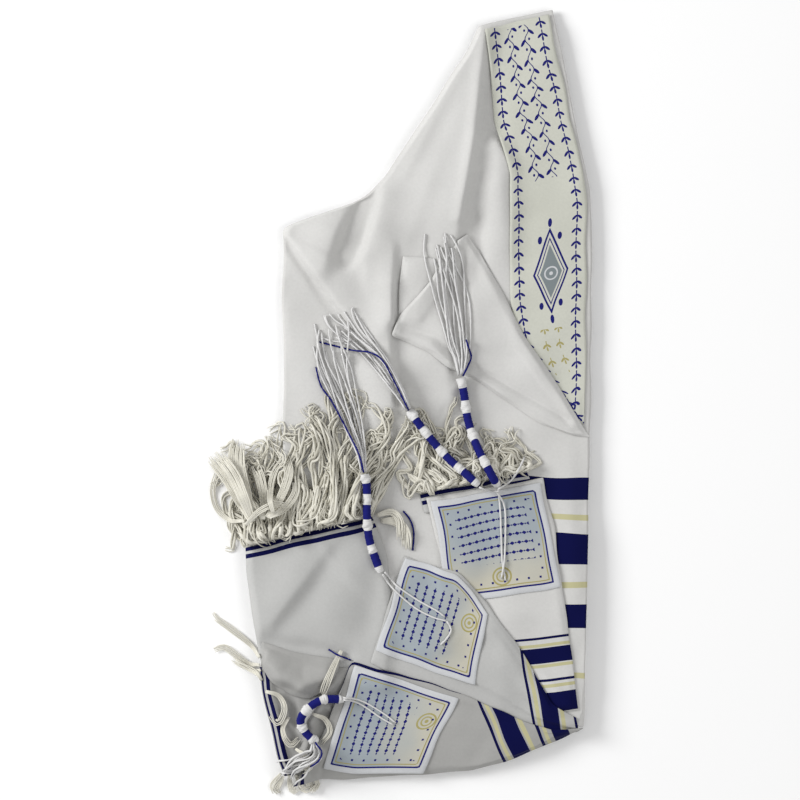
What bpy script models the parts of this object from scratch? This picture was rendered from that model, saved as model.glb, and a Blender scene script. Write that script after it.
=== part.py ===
"""A tallit prayer shawl, folded end to end and laid flat, with its corners fanned out.

Metres, +Z up. The origin is on the surface that the shawl lies on, under the middle of its outline.
Tables give places in millimetres from that origin: x to the right, y towards the top fold.
Each stretch of cloth is laid on the heap of those before it, so nothing passes through its neighbour.
"""

from collections import namedtuple

import bpy
import numpy as np

MM = 0.001

# Cloth
WALL = 1.6 * MM
GAP = 0.35 * MM
EASE = 6 * MM
CELL = 1 * MM

# Hidden layers
LAYERS = 4
SCALLOP = 0.8 * MM
LAYER_SLIP = 0.6 * MM
CORE_CROWN = 0.5 * MM
CORE_STEP = 30

# Fringe locks
LOCK_THICK = 2.0 * MM
LOCK_STEP = 17 * MM
LOCK_LEAD = 7 * MM
STRIP_DEPTH = 3.0 * MM
STRIP_HEIGHT = 2.4 * MM
ROOT_SHARE = 0.62
ROOT_FREE = 9 * MM

# Tassels
HEAD_RADIUS = 4.6 * MM
STRAND_THICK = 2.0 * MM
STRAND_STEP = 15 * MM
STRAND_LIFT = 3.5 * MM
STRAND_FORWARD = 3.5 * MM
STRAND_LEAD = 6 * MM
FACES_ROUND_HEAD = 8
STRAND_SIDES = (7, 1, 3, 0, 2)
BRIDGE_ROUNDS = 6

OFF_WHITE = (0.80, 0.79, 0.76)
CREAM = (0.78, 0.75, 0.68)
PALE_GOLD = (0.72, 0.70, 0.58)
PATCH_GROUND = (0.70, 0.73, 0.76)

Row = namedtuple("Row", "left_x left_y right_x right_y")
Station = namedtuple("Station", "left_x left_y right_x right_y height")
Fold = namedtuple("Fold", "x1 y1 x2 y2 height width")
Guide = namedtuple("Guide", "share middle_x middle_y tip_x tip_y")
Bead = namedtuple("Bead", "share radius")

# Cloth stretches, row by row
CORE = [
    Station(77, 350, 141, 364, 3.5),
    Station(73, 342, 143, 357, 6.5),
    Station(24, 267, 160, 276, 6.5),
    Station(-13, 213, 171, 227, 6.5),
    Station(-32, 192, 177, 198, 6.5),
    Station(-72, 176, 178, 180, 6.5),
    Station(-107, 161, 179, 166, 6.5),
    Station(-108, 60, 179, 60, 6.5),
    Station(-108, -45, 177, -45, 6.5),
    Station(-108, -100, 175, -100, 8.0),
    Station(-128, -128, 174, -128, 11.0),
    Station(-139, -142, 173, -142, 12.0),
    Station(-136, -185, 172, -185, 13.0),
    Station(-129, -240, 171, -240, 13.0),
    Station(-126, -272, 170, -272, 13.0),
    Station(-120, -300, 169, -300, 13.0),
    Station(-114, -324, 124, -324, 12.0),
    Station(-110, -341, 76, -341, 10.0),
    Station(-106, -350, 14, -347, 7.0),
]
FRONT = [
    Row(75, 353, 143, 369),
    Row(58, 323, 151, 335),
    Row(23, 267, 162, 276),
    Row(-14, 213, 173, 228),
    Row(-33, 192, 178, 199),
    Row(-74, 177, 179, 182),
    Row(-110, 163, 180, 166),
    Row(-110, 95, 180, 95),
    Row(-110, 20, 179, 20),
    Row(-110, -45, 178, -45),
    Row(-110, -95, 177, -110),
    Row(-40, -170, 176, -190),
    Row(40, -240, 174, -250),
    Row(132, -296, 172, -306),
]
NECKBAND = [
    Row(80, 350, 140, 364),
    Row(85, 312, 149, 321),
    Row(90, 262, 160, 267),
    Row(97, 236, 167, 240),
    Row(104, 214, 172, 217),
    Row(104, 185, 175, 189),
    Row(103, 147, 175, 152),
    Row(105, 95, 175, 95),
    Row(112, 52, 175, 53),
    Row(138, 16, 175, 18),
    Row(165, -22, 173, -20),
]
TUCKED = [
    Row(2, 136, 55, 131),
    Row(0, 110, 37, 105),
    Row(-1, 82, 18, 80),
]
FOLD_OVER = [
    Row(54, 152, 64, 158),
    Row(29, 112, 75, 141),
    Row(0, 82, 89, 114),
    Row(-8, 61, 104, 85),
    Row(28, 48, 120, 60),
    Row(44, 33, 137, 33),
    Row(70, 20, 153, 7),
    Row(96, 3, 165, -12),
    Row(133, -21, 174, -27),
    Row(164, -31, 178, -33),
]
END_D = [
    Row(19, -87, 119, -66),
    Row(24, -106, 127, -86),
]
PANEL_A = [
    Row(25, -91, 134, -72),
    Row(34, -130, 144, -119),
    Row(47, -177, 153, -173),
    Row(75, -215, 157, -218),
    Row(105, -252, 163, -255),
    Row(139, -292, 168, -289),
]
PATCH_A = [
    Row(29, -95, 132, -76),
    Row(38, -142, 141, -124),
    Row(46, -190, 150, -174),
]
PANEL_L = [
    Row(-146, -137, -26, -108),
    Row(-145, -158, -11, -149),
    Row(-140, -196, -8, -187),
    Row(-134, -229, -9, -234),
    Row(-129, -254, -14, -271),
]
PANEL_B = [
    Row(-28, -245, 5, -145),
    Row(0, -258, 28, -152),
    Row(28, -268, 54, -161),
    Row(58, -279, 81, -189),
    Row(87, -292, 99, -215),
    Row(113, -301, 122, -247),
    Row(143, -309, 141, -283),
    Row(166, -308, 166, -298),
]
PATCH_B = [
    Row(-22, -234, 5, -147),
    Row(8, -245, 29, -153),
    Row(38, -256, 53, -162),
    Row(70, -265, 82, -199),
]
CORNER = [
    Row(-132, -250, -45, -250),
    Row(-130, -271, -47, -276),
    Row(-122, -304, -61, -313),
    Row(-115, -337, -76, -339),
    Row(-110, -353, -82, -353),
]
PANEL_C = [
    Row(-74, -356, -45, -244),
    Row(-50, -356, -19, -251),
    Row(-14, -353, 19, -262),
    Row(23, -351, 56, -274),
    Row(66, -347, 101, -293),
    Row(99, -339, 122, -302),
    Row(132, -327, 143, -309),
    Row(160, -314, 172, -308),
]
PATCH_C = [
    Row(-72, -346, -42, -248),
    Row(-45, -350, -11, -257),
    Row(-13, -350, 21, -268),
    Row(21, -350, 54, -278),
]
ROLLED = [
    Row(-130, -246, -130, -226),
    Row(-120, -264, -117, -230),
    Row(-103, -275, -102, -234),
    Row(-85, -279, -83, -238),
    Row(-69, -270, -66, -240),
    Row(-58, -252, -56, -242),
]

# Folds, as soft ridges and troughs
FRONT_FOLDS = [
    Fold(78, 325, 73, 262, 6.0, 11),
    Fold(73, 262, 58, 172, 7.0, 14),
    Fold(93, 205, 96, 150, 6.0, 20),
    Fold(50, 310, 8, 205, 2.5, 12),
    Fold(40, 240, 20, 160, 2.0, 14),
    Fold(-31, 180, -52, 136, -3.0, 12),
    Fold(-88, 140, -45, 75, 2.5, 14),
    Fold(-45, 75, -5, 30, 2.5, 14),
    Fold(-8, 140, -10, 92, -3.0, 10),
    Fold(-60, 20, -40, -40, 1.5, 25),
]
FOLD_OVER_FOLDS = [
    Fold(70, 145, 135, 45, 2.0, 14),
    Fold(10, 72, 60, 62, 1.5, 12),
    Fold(60, 30, 130, -12, 1.0, 8),
]
PANEL_L_FOLDS = [
    Fold(-120, -160, -90, -220, 1.5, 18),
    Fold(-60, -150, -40, -200, 1.5, 18),
]
PANEL_A_FOLDS = [
    Fold(80, -200, 150, -200, 1.2, 14),
    Fold(140, -235, 158, -285, 1.5, 8),
]
PANEL_B_FOLDS = [
    Fold(95, -230, 135, -285, 2.5, 10),
    Fold(0, -240, 40, -255, 1.0, 10),
]
PANEL_C_FOLDS = [
    Fold(60, -300, 120, -320, 1.8, 14),
    Fold(-55, -290, -60, -330, 2.0, 12),
]
CORNER_FOLDS = [
    Fold(-105, -270, -100, -340, 2.0, 10),
    Fold(-80, -300, -95, -350, 2.0, 8),
]
ROLLED_FOLDS = [
    Fold(-123, -245, -95, -268, 4.0, 10),
    Fold(-95, -268, -68, -260, 4.0, 10),
]

# Fringe, from root to tip
LEFT_GUIDES = [
    Guide(0.00, -170, -95, -178, -50),
    Guide(0.10, -150, -88, -166, -38),
    Guide(0.22, -135, -78, -140, -45),
    Guide(0.35, -112, -75, -105, -45),
    Guide(0.50, -88, -62, -78, -18),
    Guide(0.65, -62, -55, -60, -5),
    Guide(0.80, -40, -48, -30, -8),
    Guide(1.00, -10, -60, 8, -40),
]
RIGHT_GUIDES = [
    Guide(0.00, 6, -55, -8, -14),
    Guide(0.35, 40, -45, 30, -4),
    Guide(0.70, 75, -42, 70, 0),
    Guide(1.00, 108, -38, 100, -8),
]
CORNER_GUIDES = [
    Guide(0.0, -152, -258, -162, -264),
    Guide(0.5, -156, -240, -177, -236),
    Guide(1.0, -155, -222, -176, -204),
]
TIP_GUIDES = [
    Guide(0.00, -86, -366, -83, -369),
    Guide(0.50, -98, -366, -99, -369),
    Guide(1.00, -112, -366, -117, -369),
]

# The cloth edges that carry fringe, with the locks running out to the left of the way from start to end
RIGHT_END = [(19, -87), (119, -66)]
LEFT_END = [(-146, -137), (-26, -108)]
CORNER_EDGE = [(-130.2, -248), (-133.8, -230)]
CORNER_END = [(-82, -353), (-110, -353)]

# Corner tassels: the head's path, then where each strand runs and ends
HEAD_BEADS = [
    Bead(0.00, 0.70),
    Bead(0.06, 1.00),
    Bead(0.18, 1.00),
    Bead(0.23, 1.25),
    Bead(0.29, 0.95),
    Bead(0.43, 0.95),
    Bead(0.49, 1.25),
    Bead(0.55, 0.95),
    Bead(0.68, 0.95),
    Bead(0.74, 1.25),
    Bead(0.80, 0.95),
    Bead(0.88, 0.95),
    Bead(0.94, 1.20),
    Bead(1.00, 1.10),
]
TASSELS = {
    "tassel_1": {
        "head": [(92, -80), (84, -66), (72, -42), (64, -18), (60, 8), (57, 22)],
        "strands": [
            [(66, 36), (70, 56), (62, 100), (52, 148)],
            [(56, 38), (54, 70), (44, 118), (36, 162)],
            [(48, 34), (44, 54), (34, 92), (26, 122)],
            [(61, 38), (63, 64), (52, 112), (44, 156)],
            [(52, 38), (49, 64), (39, 106), (31, 142)],
        ],
    },
    "tassel_2": {
        "head": [(73, -78), (62, -68), (44, -52), (28, -34), (17, -20), (10, -10)],
        "strands": [
            [(13, 5), (6, 34), (-14, 66), (-40, 84)],
            [(2, 3), (-10, 23), (-38, 51), (-70, 76)],
            [(-8, -10), (-26, 2), (-52, 24), (-80, 40)],
            [(7, 6), (-3, 30), (-28, 61), (-60, 84)],
            [(-2, -3), (-18, 14), (-45, 38), (-76, 58)],
        ],
    },
    "tassel_3": {
        "head": [(-18, -160), (-22, -150), (-29, -128), (-31, -104), (-31, -82), (-33, -68)],
        "strands": [
            [(-27, -56), (-25, -28), (-34, 4), (-52, 36)],
            [(-35, -54), (-42, -28), (-62, 0), (-80, 30)],
            [(-46, -64), (-62, -47), (-84, -32), (-108, -20)],
            [(-31, -54), (-34, -26), (-48, 4), (-66, 34)],
            [(-39, -54), (-52, -34), (-74, -13), (-92, 8)],
        ],
    },
    "tassel_4": {
        "head": [(-64, -283), (-74, -283), (-86, -287), (-93, -298), (-89, -309), (-79, -319)],
        "strands": [
            [(-86, -326), (-98, -332), (-110, -342), (-116, -352)],
            [(-78, -328), (-84, -338), (-94, -348), (-100, -358)],
            [(-68, -326), (-68, -336), (-76, -346), (-84, -356)],
            [(-82, -328), (-91, -336), (-102, -346), (-108, -356)],
            [(-74, -328), (-76, -338), (-84, -348), (-92, -358)],
        ],
    },
}


def clear_scene():
    for thing in list(bpy.data.objects):
        bpy.data.objects.remove(thing)


def material(name, colour, roughness=0.85):
    made = bpy.data.materials.new(name)
    made.use_nodes = True
    shader = made.node_tree.nodes["Principled BSDF"]
    shader.inputs["Base Color"].default_value = (*colour, 1.0)
    shader.inputs["Roughness"].default_value = roughness
    shader.inputs["Metallic"].default_value = 0.0
    return made


def add_object(name, points, faces, colour):
    mesh = bpy.data.meshes.new(name)
    mesh.from_pydata([tuple(map(float, p)) for p in points], [], [tuple(map(int, f)) for f in faces])
    mesh.validate()
    mesh.shade_smooth()
    mesh.set_sharp_from_angle(angle=0.9)
    made = bpy.data.objects.new(name, mesh)
    made.data.materials.append(material(name, colour))
    bpy.context.scene.collection.objects.link(made)
    return made


def spread(values, cells):
    """The largest value within a square of so many cells each way."""
    out = values
    for axis in (0, 1):
        best = out.copy()
        for shift in range(1, cells + 1):
            for way in (shift, -shift):
                moved = np.roll(out, way, axis=axis)
                best = np.maximum(best, moved)
        out = best
    return out


def blurred(values, cells):
    """The mean within a square of so many cells each way."""
    out = values
    for axis in (0, 1):
        total = out.copy()
        for shift in range(1, cells + 1):
            total = total + np.roll(out, shift, axis=axis) + np.roll(out, -shift, axis=axis)
        out = total / (2 * cells + 1)
    return out


class Heap:
    """The height of what is laid so far, on a square grid seen from above."""

    LOW_X, LOW_Y = -240 * MM, -420 * MM
    WIDE, LONG = 480, 840

    def __init__(self):
        self.top = np.zeros((self.WIDE, self.LONG))

    def spots(self, points, faces):
        """Points all over the faces, closer together than the grid's cells, with the cell of each."""
        points = np.asarray(points)
        corners = np.array([(f[0], f[k], f[k + 1]) for f in faces for k in range(1, len(f) - 1)])
        a, b, c = (points[corners[:, k]] for k in range(3))
        longest = max(np.linalg.norm((p - q)[:, :2], axis=1).max() for p, q in ((a, b), (b, c), (c, a)))
        steps = int(np.ceil(longest / (0.6 * CELL)))
        for i in range(steps + 1):
            for j in range(steps + 1 - i):
                spot = a + (b - a) * (i / steps) + (c - a) * (j / steps)
                across = ((spot[:, 0] - self.LOW_X) / CELL).astype(int)
                along = ((spot[:, 1] - self.LOW_Y) / CELL).astype(int)
                yield (across, along), spot[:, 2]

    def add(self, points, faces):
        for cells, z in self.spots(points, faces):
            np.maximum.at(self.top, cells, z)

    def clearance(self, points, faces):
        """The least height of the faces over the heap."""
        near = spread(self.top, 1)
        return min((z - near[cells]).min() for cells, z in self.spots(points, faces))

    def cover(self, reach, ease):
        """A soft surface that clears the heap wherever its points are no further apart than reach."""
        near = spread(self.top, int(np.ceil(reach / CELL)) + 1)
        soft = int(np.ceil(ease / CELL))
        if soft < 2:
            return near
        return blurred(blurred(spread(near, 2 * (soft // 2)), soft // 2), soft // 2)

    def read(self, cover, x, y):
        across = np.clip((np.asarray(x) - self.LOW_X) / CELL - 0.5, 0, self.WIDE - 2)
        along = np.clip((np.asarray(y) - self.LOW_Y) / CELL - 0.5, 0, self.LONG - 2)
        i, j = across.astype(int), along.astype(int)
        u, v = across - i, along - j
        low = cover[i, j] * (1 - v) + cover[i, j + 1] * v
        high = cover[i + 1, j] * (1 - v) + cover[i + 1, j + 1] * v
        return low * (1 - u) + high * u


def ruled(rows, columns, step):
    """A grid of plan points between the two ends of each row, with more rows put in every step."""
    ends = np.array([row[:4] for row in rows]) * MM
    middles = (ends[:, :2] + ends[:, 2:]) / 2
    run = np.concatenate([[0], np.cumsum(np.linalg.norm(np.diff(middles, axis=0), axis=1))])
    places = []
    for start, stop in zip(run[:-1], run[1:]):
        pieces = max(1, int(round((stop - start) / step)))
        places += [start + (stop - start) * k / pieces for k in range(pieces)]
    places.append(run[-1])
    left = np.stack([np.interp(places, run, ends[:, k]) for k in (0, 1)], axis=-1)
    right = np.stack([np.interp(places, run, ends[:, k]) for k in (2, 3)], axis=-1)
    share = np.linspace(0, 1, columns + 1)[None, :, None]
    return left[:, None] * (1 - share) + right[:, None] * share


def relief(folds, x, y, puff):
    """How far folds lift the cloth off what is under it, never less than nothing."""
    lift = np.full(x.shape, puff)
    for fold in folds:
        start = np.array([fold.x1, fold.y1]) * MM
        way = np.array([fold.x2, fold.y2]) * MM - start
        share = np.clip(((x - start[0]) * way[0] + (y - start[1]) * way[1]) / (way @ way), 0, 1)
        off = np.hypot(x - start[0] - share * way[0], y - start[1] - share * way[1])
        lift = lift + fold.height * MM * np.exp(-((off / (fold.width * MM)) ** 2))
    return np.maximum(lift, 0)


def edge_fade(rows, columns):
    """Nought round a grid's rim and one inside it, so that the cloth lies down at its edges."""
    along = np.minimum(np.arange(rows), np.arange(rows)[::-1])
    across = np.minimum(np.arange(columns), np.arange(columns)[::-1])
    return np.minimum(along[:, None], across[None, :]).clip(0, 1)


def grid_faces(rows, columns):
    """Faces of a closed wall whose outer points come first and inner points second."""
    count = rows * columns
    at = np.arange(count).reshape(rows, columns)
    faces = []
    for i in range(rows - 1):
        for j in range(columns - 1):
            a, b, c, d = at[i, j], at[i + 1, j], at[i + 1, j + 1], at[i, j + 1]
            for corner in ((a, b, c), (a, c, d)):
                faces.append(corner)
                faces.append(tuple(count + k for k in reversed(corner)))
    rim = [at[0, j] for j in range(columns)] + [at[i, -1] for i in range(1, rows)]
    rim += [at[-1, j] for j in range(columns - 2, -1, -1)] + [at[i, 0] for i in range(rows - 2, 0, -1)]
    for k, first in enumerate(rim):
        second = rim[(k + 1) % len(rim)]
        faces.append((first, second, count + second, count + first))
    return faces


def longest_diagonal(plan):
    one = np.linalg.norm(plan[1:, 1:] - plan[:-1, :-1], axis=-1).max()
    other = np.linalg.norm(plan[1:, :-1] - plan[:-1, 1:], axis=-1).max()
    return max(one, other)


def lay_sheet(heap, name, rows, columns, step, folds, colour, puff=0.6):
    """Lay one stretch of cloth on the heap, and return the surface that it lies on."""
    plan = ruled(rows, columns, step * MM)
    cover = heap.cover(longest_diagonal(plan), EASE)
    x, y = plan[..., 0], plan[..., 1]
    base = heap.read(cover, x, y) + GAP + WALL
    lift = relief(folds, x, y, puff * MM) * edge_fade(*x.shape)
    outer = np.stack([x, y, base + lift], axis=-1)
    inner = outer - (0, 0, WALL)
    points = np.concatenate([outer.reshape(-1, 3), inner.reshape(-1, 3)])
    faces = grid_faces(*x.shape)
    drop = max(0, heap.clearance(points, faces) - GAP)
    points[:, 2] -= drop
    add_object(name, points, faces, colour)
    heap.add(points, faces)
    return cover - drop


def lay_core(heap):
    """The hidden layers, with a scalloped side that shows them."""
    plan = ruled(CORE, 5, CORE_STEP * MM)
    heights = np.array([station.height for station in CORE]) * MM
    middles = np.array([((s.left_x + s.right_x) / 2, (s.left_y + s.right_y) / 2) for s in CORE]) * MM
    run = np.concatenate([[0], np.cumsum(np.linalg.norm(np.diff(middles, axis=0), axis=1))])
    centre = (plan[:, 0] + plan[:, -1]) / 2
    places = np.concatenate([[0], np.cumsum(np.linalg.norm(np.diff(centre, axis=0), axis=1))])
    tall = np.interp(places, run, heights)
    rings = []
    for k, row in enumerate(plan):
        way = (row[-1] - row[0]) / np.linalg.norm(row[-1] - row[0])
        side = []
        for level in range(2 * LAYERS + 1):
            dent = 0.0 if level % 2 else SCALLOP
            slip = LAYER_SLIP * abs(np.sin(0.9 * k + 2.1 * level))
            side.append((dent + slip, tall[k] * level / (2 * LAYERS)))
        left = [(*(row[0] + way * inset), z) for inset, z in side]
        right = [(*(row[-1] - way * inset), z) for inset, z in reversed(side)]
        top = [(*spot, tall[k] + CORE_CROWN) for spot in row[1:-1]]
        rings.append(left + top + right)
    points = np.array(rings).reshape(-1, 3)
    ring = len(rings[0])
    faces = []
    for k in range(len(rings) - 1):
        for j in range(ring):
            follow = (j + 1) % ring
            first, second = k * ring, (k + 1) * ring
            faces.append((first + j, second + j, second + follow, first + follow))
    last = (len(rings) - 1) * ring
    faces.append(tuple(range(ring)))
    faces.append(tuple(last + j for j in range(ring))[::-1])
    add_object("cloth_core", points, faces, OFF_WHITE)
    heap.add(points, faces)


def soft_path(points, step, lead=None):
    """Points every step along a soft curve through the given ones, with one more at the lead, if any."""
    points = np.asarray(points, dtype=float)
    padded = np.vstack([2 * points[0] - points[1], points, 2 * points[-1] - points[-2]])
    fine = []
    for k in range(len(points) - 1):
        p0, p1, p2, p3 = padded[k:k + 4]
        for t in np.linspace(0, 1, 9)[:-1]:
            fine.append(0.5 * (2 * p1 + (p2 - p0) * t + (2 * p0 - 5 * p1 + 4 * p2 - p3) * t * t
                               + (3 * p1 - p0 - 3 * p2 + p3) * t ** 3))
    fine = np.array(fine + [points[-1]])
    run = np.concatenate([[0], np.cumsum(np.linalg.norm(np.diff(fine, axis=0), axis=1))])
    count = max(3, int(round(run[-1] / step)) + 1)
    at = np.linspace(0, run[-1], count)
    if lead is not None:
        at = np.concatenate([[0], np.linspace(lead, run[-1], count)])
    return np.stack([np.interp(at, run, fine[:, k]) for k in range(fine.shape[1])], axis=-1)


def settle(heap, plan, half, thick, root_z=None):
    """Heights of a strand along its plan, clear of the heap but for a free run at its root, if any."""
    cover = spread(heap.top, int(np.ceil((half + GAP) / CELL)))
    clear = GAP + thick / 2
    z = heap.read(cover, plan[:, 0], plan[:, 1]) + clear
    if root_z is not None:
        z[:2] = root_z
    run = np.concatenate([[0], np.cumsum(np.linalg.norm(np.diff(plan, axis=0), axis=1))])
    fine = np.arange(0 if root_z is None else ROOT_FREE, run[-1], 1.5 * MM)
    need = heap.read(cover, np.interp(fine, run, plan[:, 0]), np.interp(fine, run, plan[:, 1])) + clear
    k = np.clip(np.searchsorted(run, fine) - 1, 0, len(run) - 2)
    share = (fine - run[k]) / (run[k + 1] - run[k])
    weight = (1 - share) ** 2 + share ** 2
    tied = (k == 0) & (root_z is not None)
    for _ in range(80):
        lack = np.maximum(need - np.interp(fine, run, z), 0)
        if lack.max() <= 0:
            break
        lift = np.zeros(len(z))
        np.maximum.at(lift, k[~tied], (lack * (1 - share) / weight)[~tied])
        np.maximum.at(lift, k + 1, np.where(tied, lack / np.maximum(share, 0.3), lack * share / weight))
        z += lift + 1e-6 * (lift > 0)
    return z


def bridged(z):
    """Heights of a stiff cord, which spans the hollows between the high spots that it rests on."""
    for _ in range(BRIDGE_ROUNDS):
        between = (z[:-2] + z[2:]) / 2
        z[1:-1] = np.maximum(z[1:-1], between)
    return z


def square_rings(path, wide, thick):
    """Four points round each point of a path: low right, low left, high left, high right of its way."""
    way = np.gradient(path, axis=0)
    way /= np.linalg.norm(way, axis=1, keepdims=True)
    flat = np.stack([way[:, 1], -way[:, 0], np.zeros(len(way))], axis=-1)
    flat /= np.linalg.norm(flat, axis=1, keepdims=True)
    up = np.cross(flat, way)
    half_w, half_t = wide[:, None] / 2, thick[:, None] / 2
    return np.stack([path + flat * half_w - up * half_t, path - flat * half_w - up * half_t,
                     path - flat * half_w + up * half_t, path + flat * half_w + up * half_t], axis=1)


def grow(points, faces, root, path, wide, thick):
    """Grow a four-sided strand from a root face, given by its four points in the order of square_rings."""
    rings = square_rings(path, wide, thick)
    before = list(root)
    for ring in rings[1:]:
        now = list(range(len(points), len(points) + 4))
        points.extend(ring)
        for k in range(4):
            follow = (k + 1) % 4
            faces.append((before[k], before[follow], now[follow], now[k]))
        before = now
    faces.append(tuple(before))


def tube_faces(rings):
    """Side faces of a row of four-point rings."""
    faces = []
    for ring in range(rings - 1):
        for k in range(4):
            follow = (k + 1) % 4
            faces.append((4 * ring + k, 4 * ring + follow, 4 * ring + 4 + follow, 4 * ring + 4 + k))
    return faces


def guide_at(guides, share):
    shares = [g.share for g in guides]
    return [np.interp(share, shares, [getattr(g, key) for g in guides]) * MM for key in Guide._fields[1:]]


def lay_fringe(heap, name, cover, edge, locks, guides, lock_wide, scatter, seed):
    """A backing strip just off a cloth's end, with a row of locks that run out from it."""
    random = np.random.default_rng(seed)
    start, stop = np.array(edge) * MM
    way = (stop - start) / np.linalg.norm(stop - start)
    out = np.array([-way[1], way[0]])
    pitch = np.linalg.norm(stop - start) / locks
    root = pitch * ROOT_SHARE
    marks = [0.0]
    for k in range(locks):
        marks += [pitch * (k + 0.5) - root / 2, pitch * (k + 0.5) + root / 2]
    marks.append(pitch * locks)
    points, faces = [], []
    for mark in marks:
        spot = start + way * mark
        low = heap.read(cover, *(spot + out * STRIP_DEPTH / 2)) + GAP
        near, far = spot + out * GAP, spot + out * (GAP + STRIP_DEPTH)
        points += [(*near, low), (*far, low), (*far, low + STRIP_HEIGHT), (*near, low + STRIP_HEIGHT)]
    for k in range(len(marks) - 1):
        first, second = 4 * k, 4 * k + 4
        for j in range(4):
            follow = (j + 1) % 4
            if j == 1 and k % 2 == 1:
                continue
            faces.append((first + j, first + follow, second + follow, second + j))
    faces.append((3, 2, 1, 0))
    last = 4 * (len(marks) - 1)
    faces.append((last, last + 1, last + 2, last + 3))
    heap.add(points, faces)
    for k in random.permutation(locks):
        low = 4 * (2 * k + 1)
        centre = (np.array(points[low + 1]) + np.array(points[low + 6])) / 2
        middle_x, middle_y, tip_x, tip_y = guide_at(guides, (k + 0.5) / locks)
        sway = random.normal(0, 1, 4) * scatter * MM
        first = centre[:2] + out * LOCK_LEAD
        middle = (middle_x + sway[0], middle_y + sway[1])
        tip = (tip_x + sway[2], tip_y + sway[3])
        plan = soft_path([centre[:2], first, middle, tip], LOCK_STEP, LOCK_LEAD)
        wide = lock_wide * MM * np.interp(np.linspace(0, 1, len(plan)), [0, 0.15, 0.8, 1], [0.8, 1, 1, 0.6])
        thick = np.full(len(plan), LOCK_THICK)
        z = settle(heap, plan, lock_wide * MM / 2, LOCK_THICK, centre[2])
        path = np.column_stack([plan, z])
        began = len(points)
        grow(points, faces, (low + 5, low + 1, low + 2, low + 6), path, wide, thick)
        fresh = points[began:]
        heap.add(fresh, tube_faces(len(fresh) // 4))
    heap.add(points, faces)
    add_object(name, points, faces, CREAM)


def lay_tassel(heap, name, head, strands):
    """A wound head, thicker at its knots, whose last band lets go the free strands.

    The strands leave its right side, top, left side, upper right and upper left, in that order.
    """
    route = soft_path(np.array(head) * MM, 2 * MM)
    run = np.concatenate([[0], np.cumsum(np.linalg.norm(np.diff(route, axis=0), axis=1))])
    shares = np.array([bead.share for bead in HEAD_BEADS])
    radii = np.array([bead.radius for bead in HEAD_BEADS]) * HEAD_RADIUS
    plan = np.stack([np.interp(shares * run[-1], run, route[:, k]) for k in (0, 1)], axis=-1)
    biggest = radii.max()
    path = np.column_stack([plan, bridged(settle(heap, plan, biggest, 2 * biggest))])
    way = np.gradient(path, axis=0)
    way /= np.linalg.norm(way, axis=1, keepdims=True)
    flat = np.stack([way[:, 1], -way[:, 0], np.zeros(len(way))], axis=-1)
    flat /= np.linalg.norm(flat, axis=1, keepdims=True)
    up = np.cross(flat, way)
    points, faces = [], []
    turn = 2 * np.pi / FACES_ROUND_HEAD
    for k in range(len(path)):
        for j in range(FACES_ROUND_HEAD):
            angle = turn * (j + 0.5)
            points.append(path[k] + radii[k] * (np.cos(angle) * flat[k] + np.sin(angle) * up[k]))
    last = len(path) - 1
    rooted = {}
    for k in range(last):
        for j in range(FACES_ROUND_HEAD):
            follow = (j + 1) % FACES_ROUND_HEAD
            first, second = k * FACES_ROUND_HEAD, (k + 1) * FACES_ROUND_HEAD
            quad = (first + j, second + j, second + follow, first + follow)
            if k == last - 1 and j in STRAND_SIDES:
                rooted[j] = quad
            else:
                faces.append(quad)
    faces.append(tuple(range(FACES_ROUND_HEAD)))
    faces.append(tuple(last * FACES_ROUND_HEAD + j for j in range(FACES_ROUND_HEAD))[::-1])
    for side, strand in zip(STRAND_SIDES, strands):
        quad = rooted[side]
        corners = np.array([points[k] for k in quad])
        centre = corners.mean(axis=0)
        axis = (path[last - 1] + path[last]) / 2
        radial = (centre - axis) / np.linalg.norm(centre - axis)
        first = centre + radial * STRAND_LIFT + way[last] * STRAND_FORWARD
        spots = [centre[:2], first[:2]] + [np.array(spot) * MM for spot in strand]
        plan = soft_path(spots, STRAND_STEP, STRAND_LEAD)
        z = settle(heap, plan, STRAND_THICK / 2, STRAND_THICK, centre[2])
        z[1] = max(z[1], first[2])
        route = np.column_stack([plan, z])
        wide = np.full(len(route), STRAND_THICK)
        ring = square_rings(route, wide, wide)[1]
        turned = min(range(4), key=lambda t: np.linalg.norm(np.roll(corners, -t, axis=0) - ring))
        began = len(points)
        grow(points, faces, quad[turned:] + quad[:turned], route, wide, wide)
        fresh = points[began:]
        heap.add(fresh, tube_faces(len(fresh) // 4))
    heap.add(points, faces)
    add_object(name, points, faces, OFF_WHITE)


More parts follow.
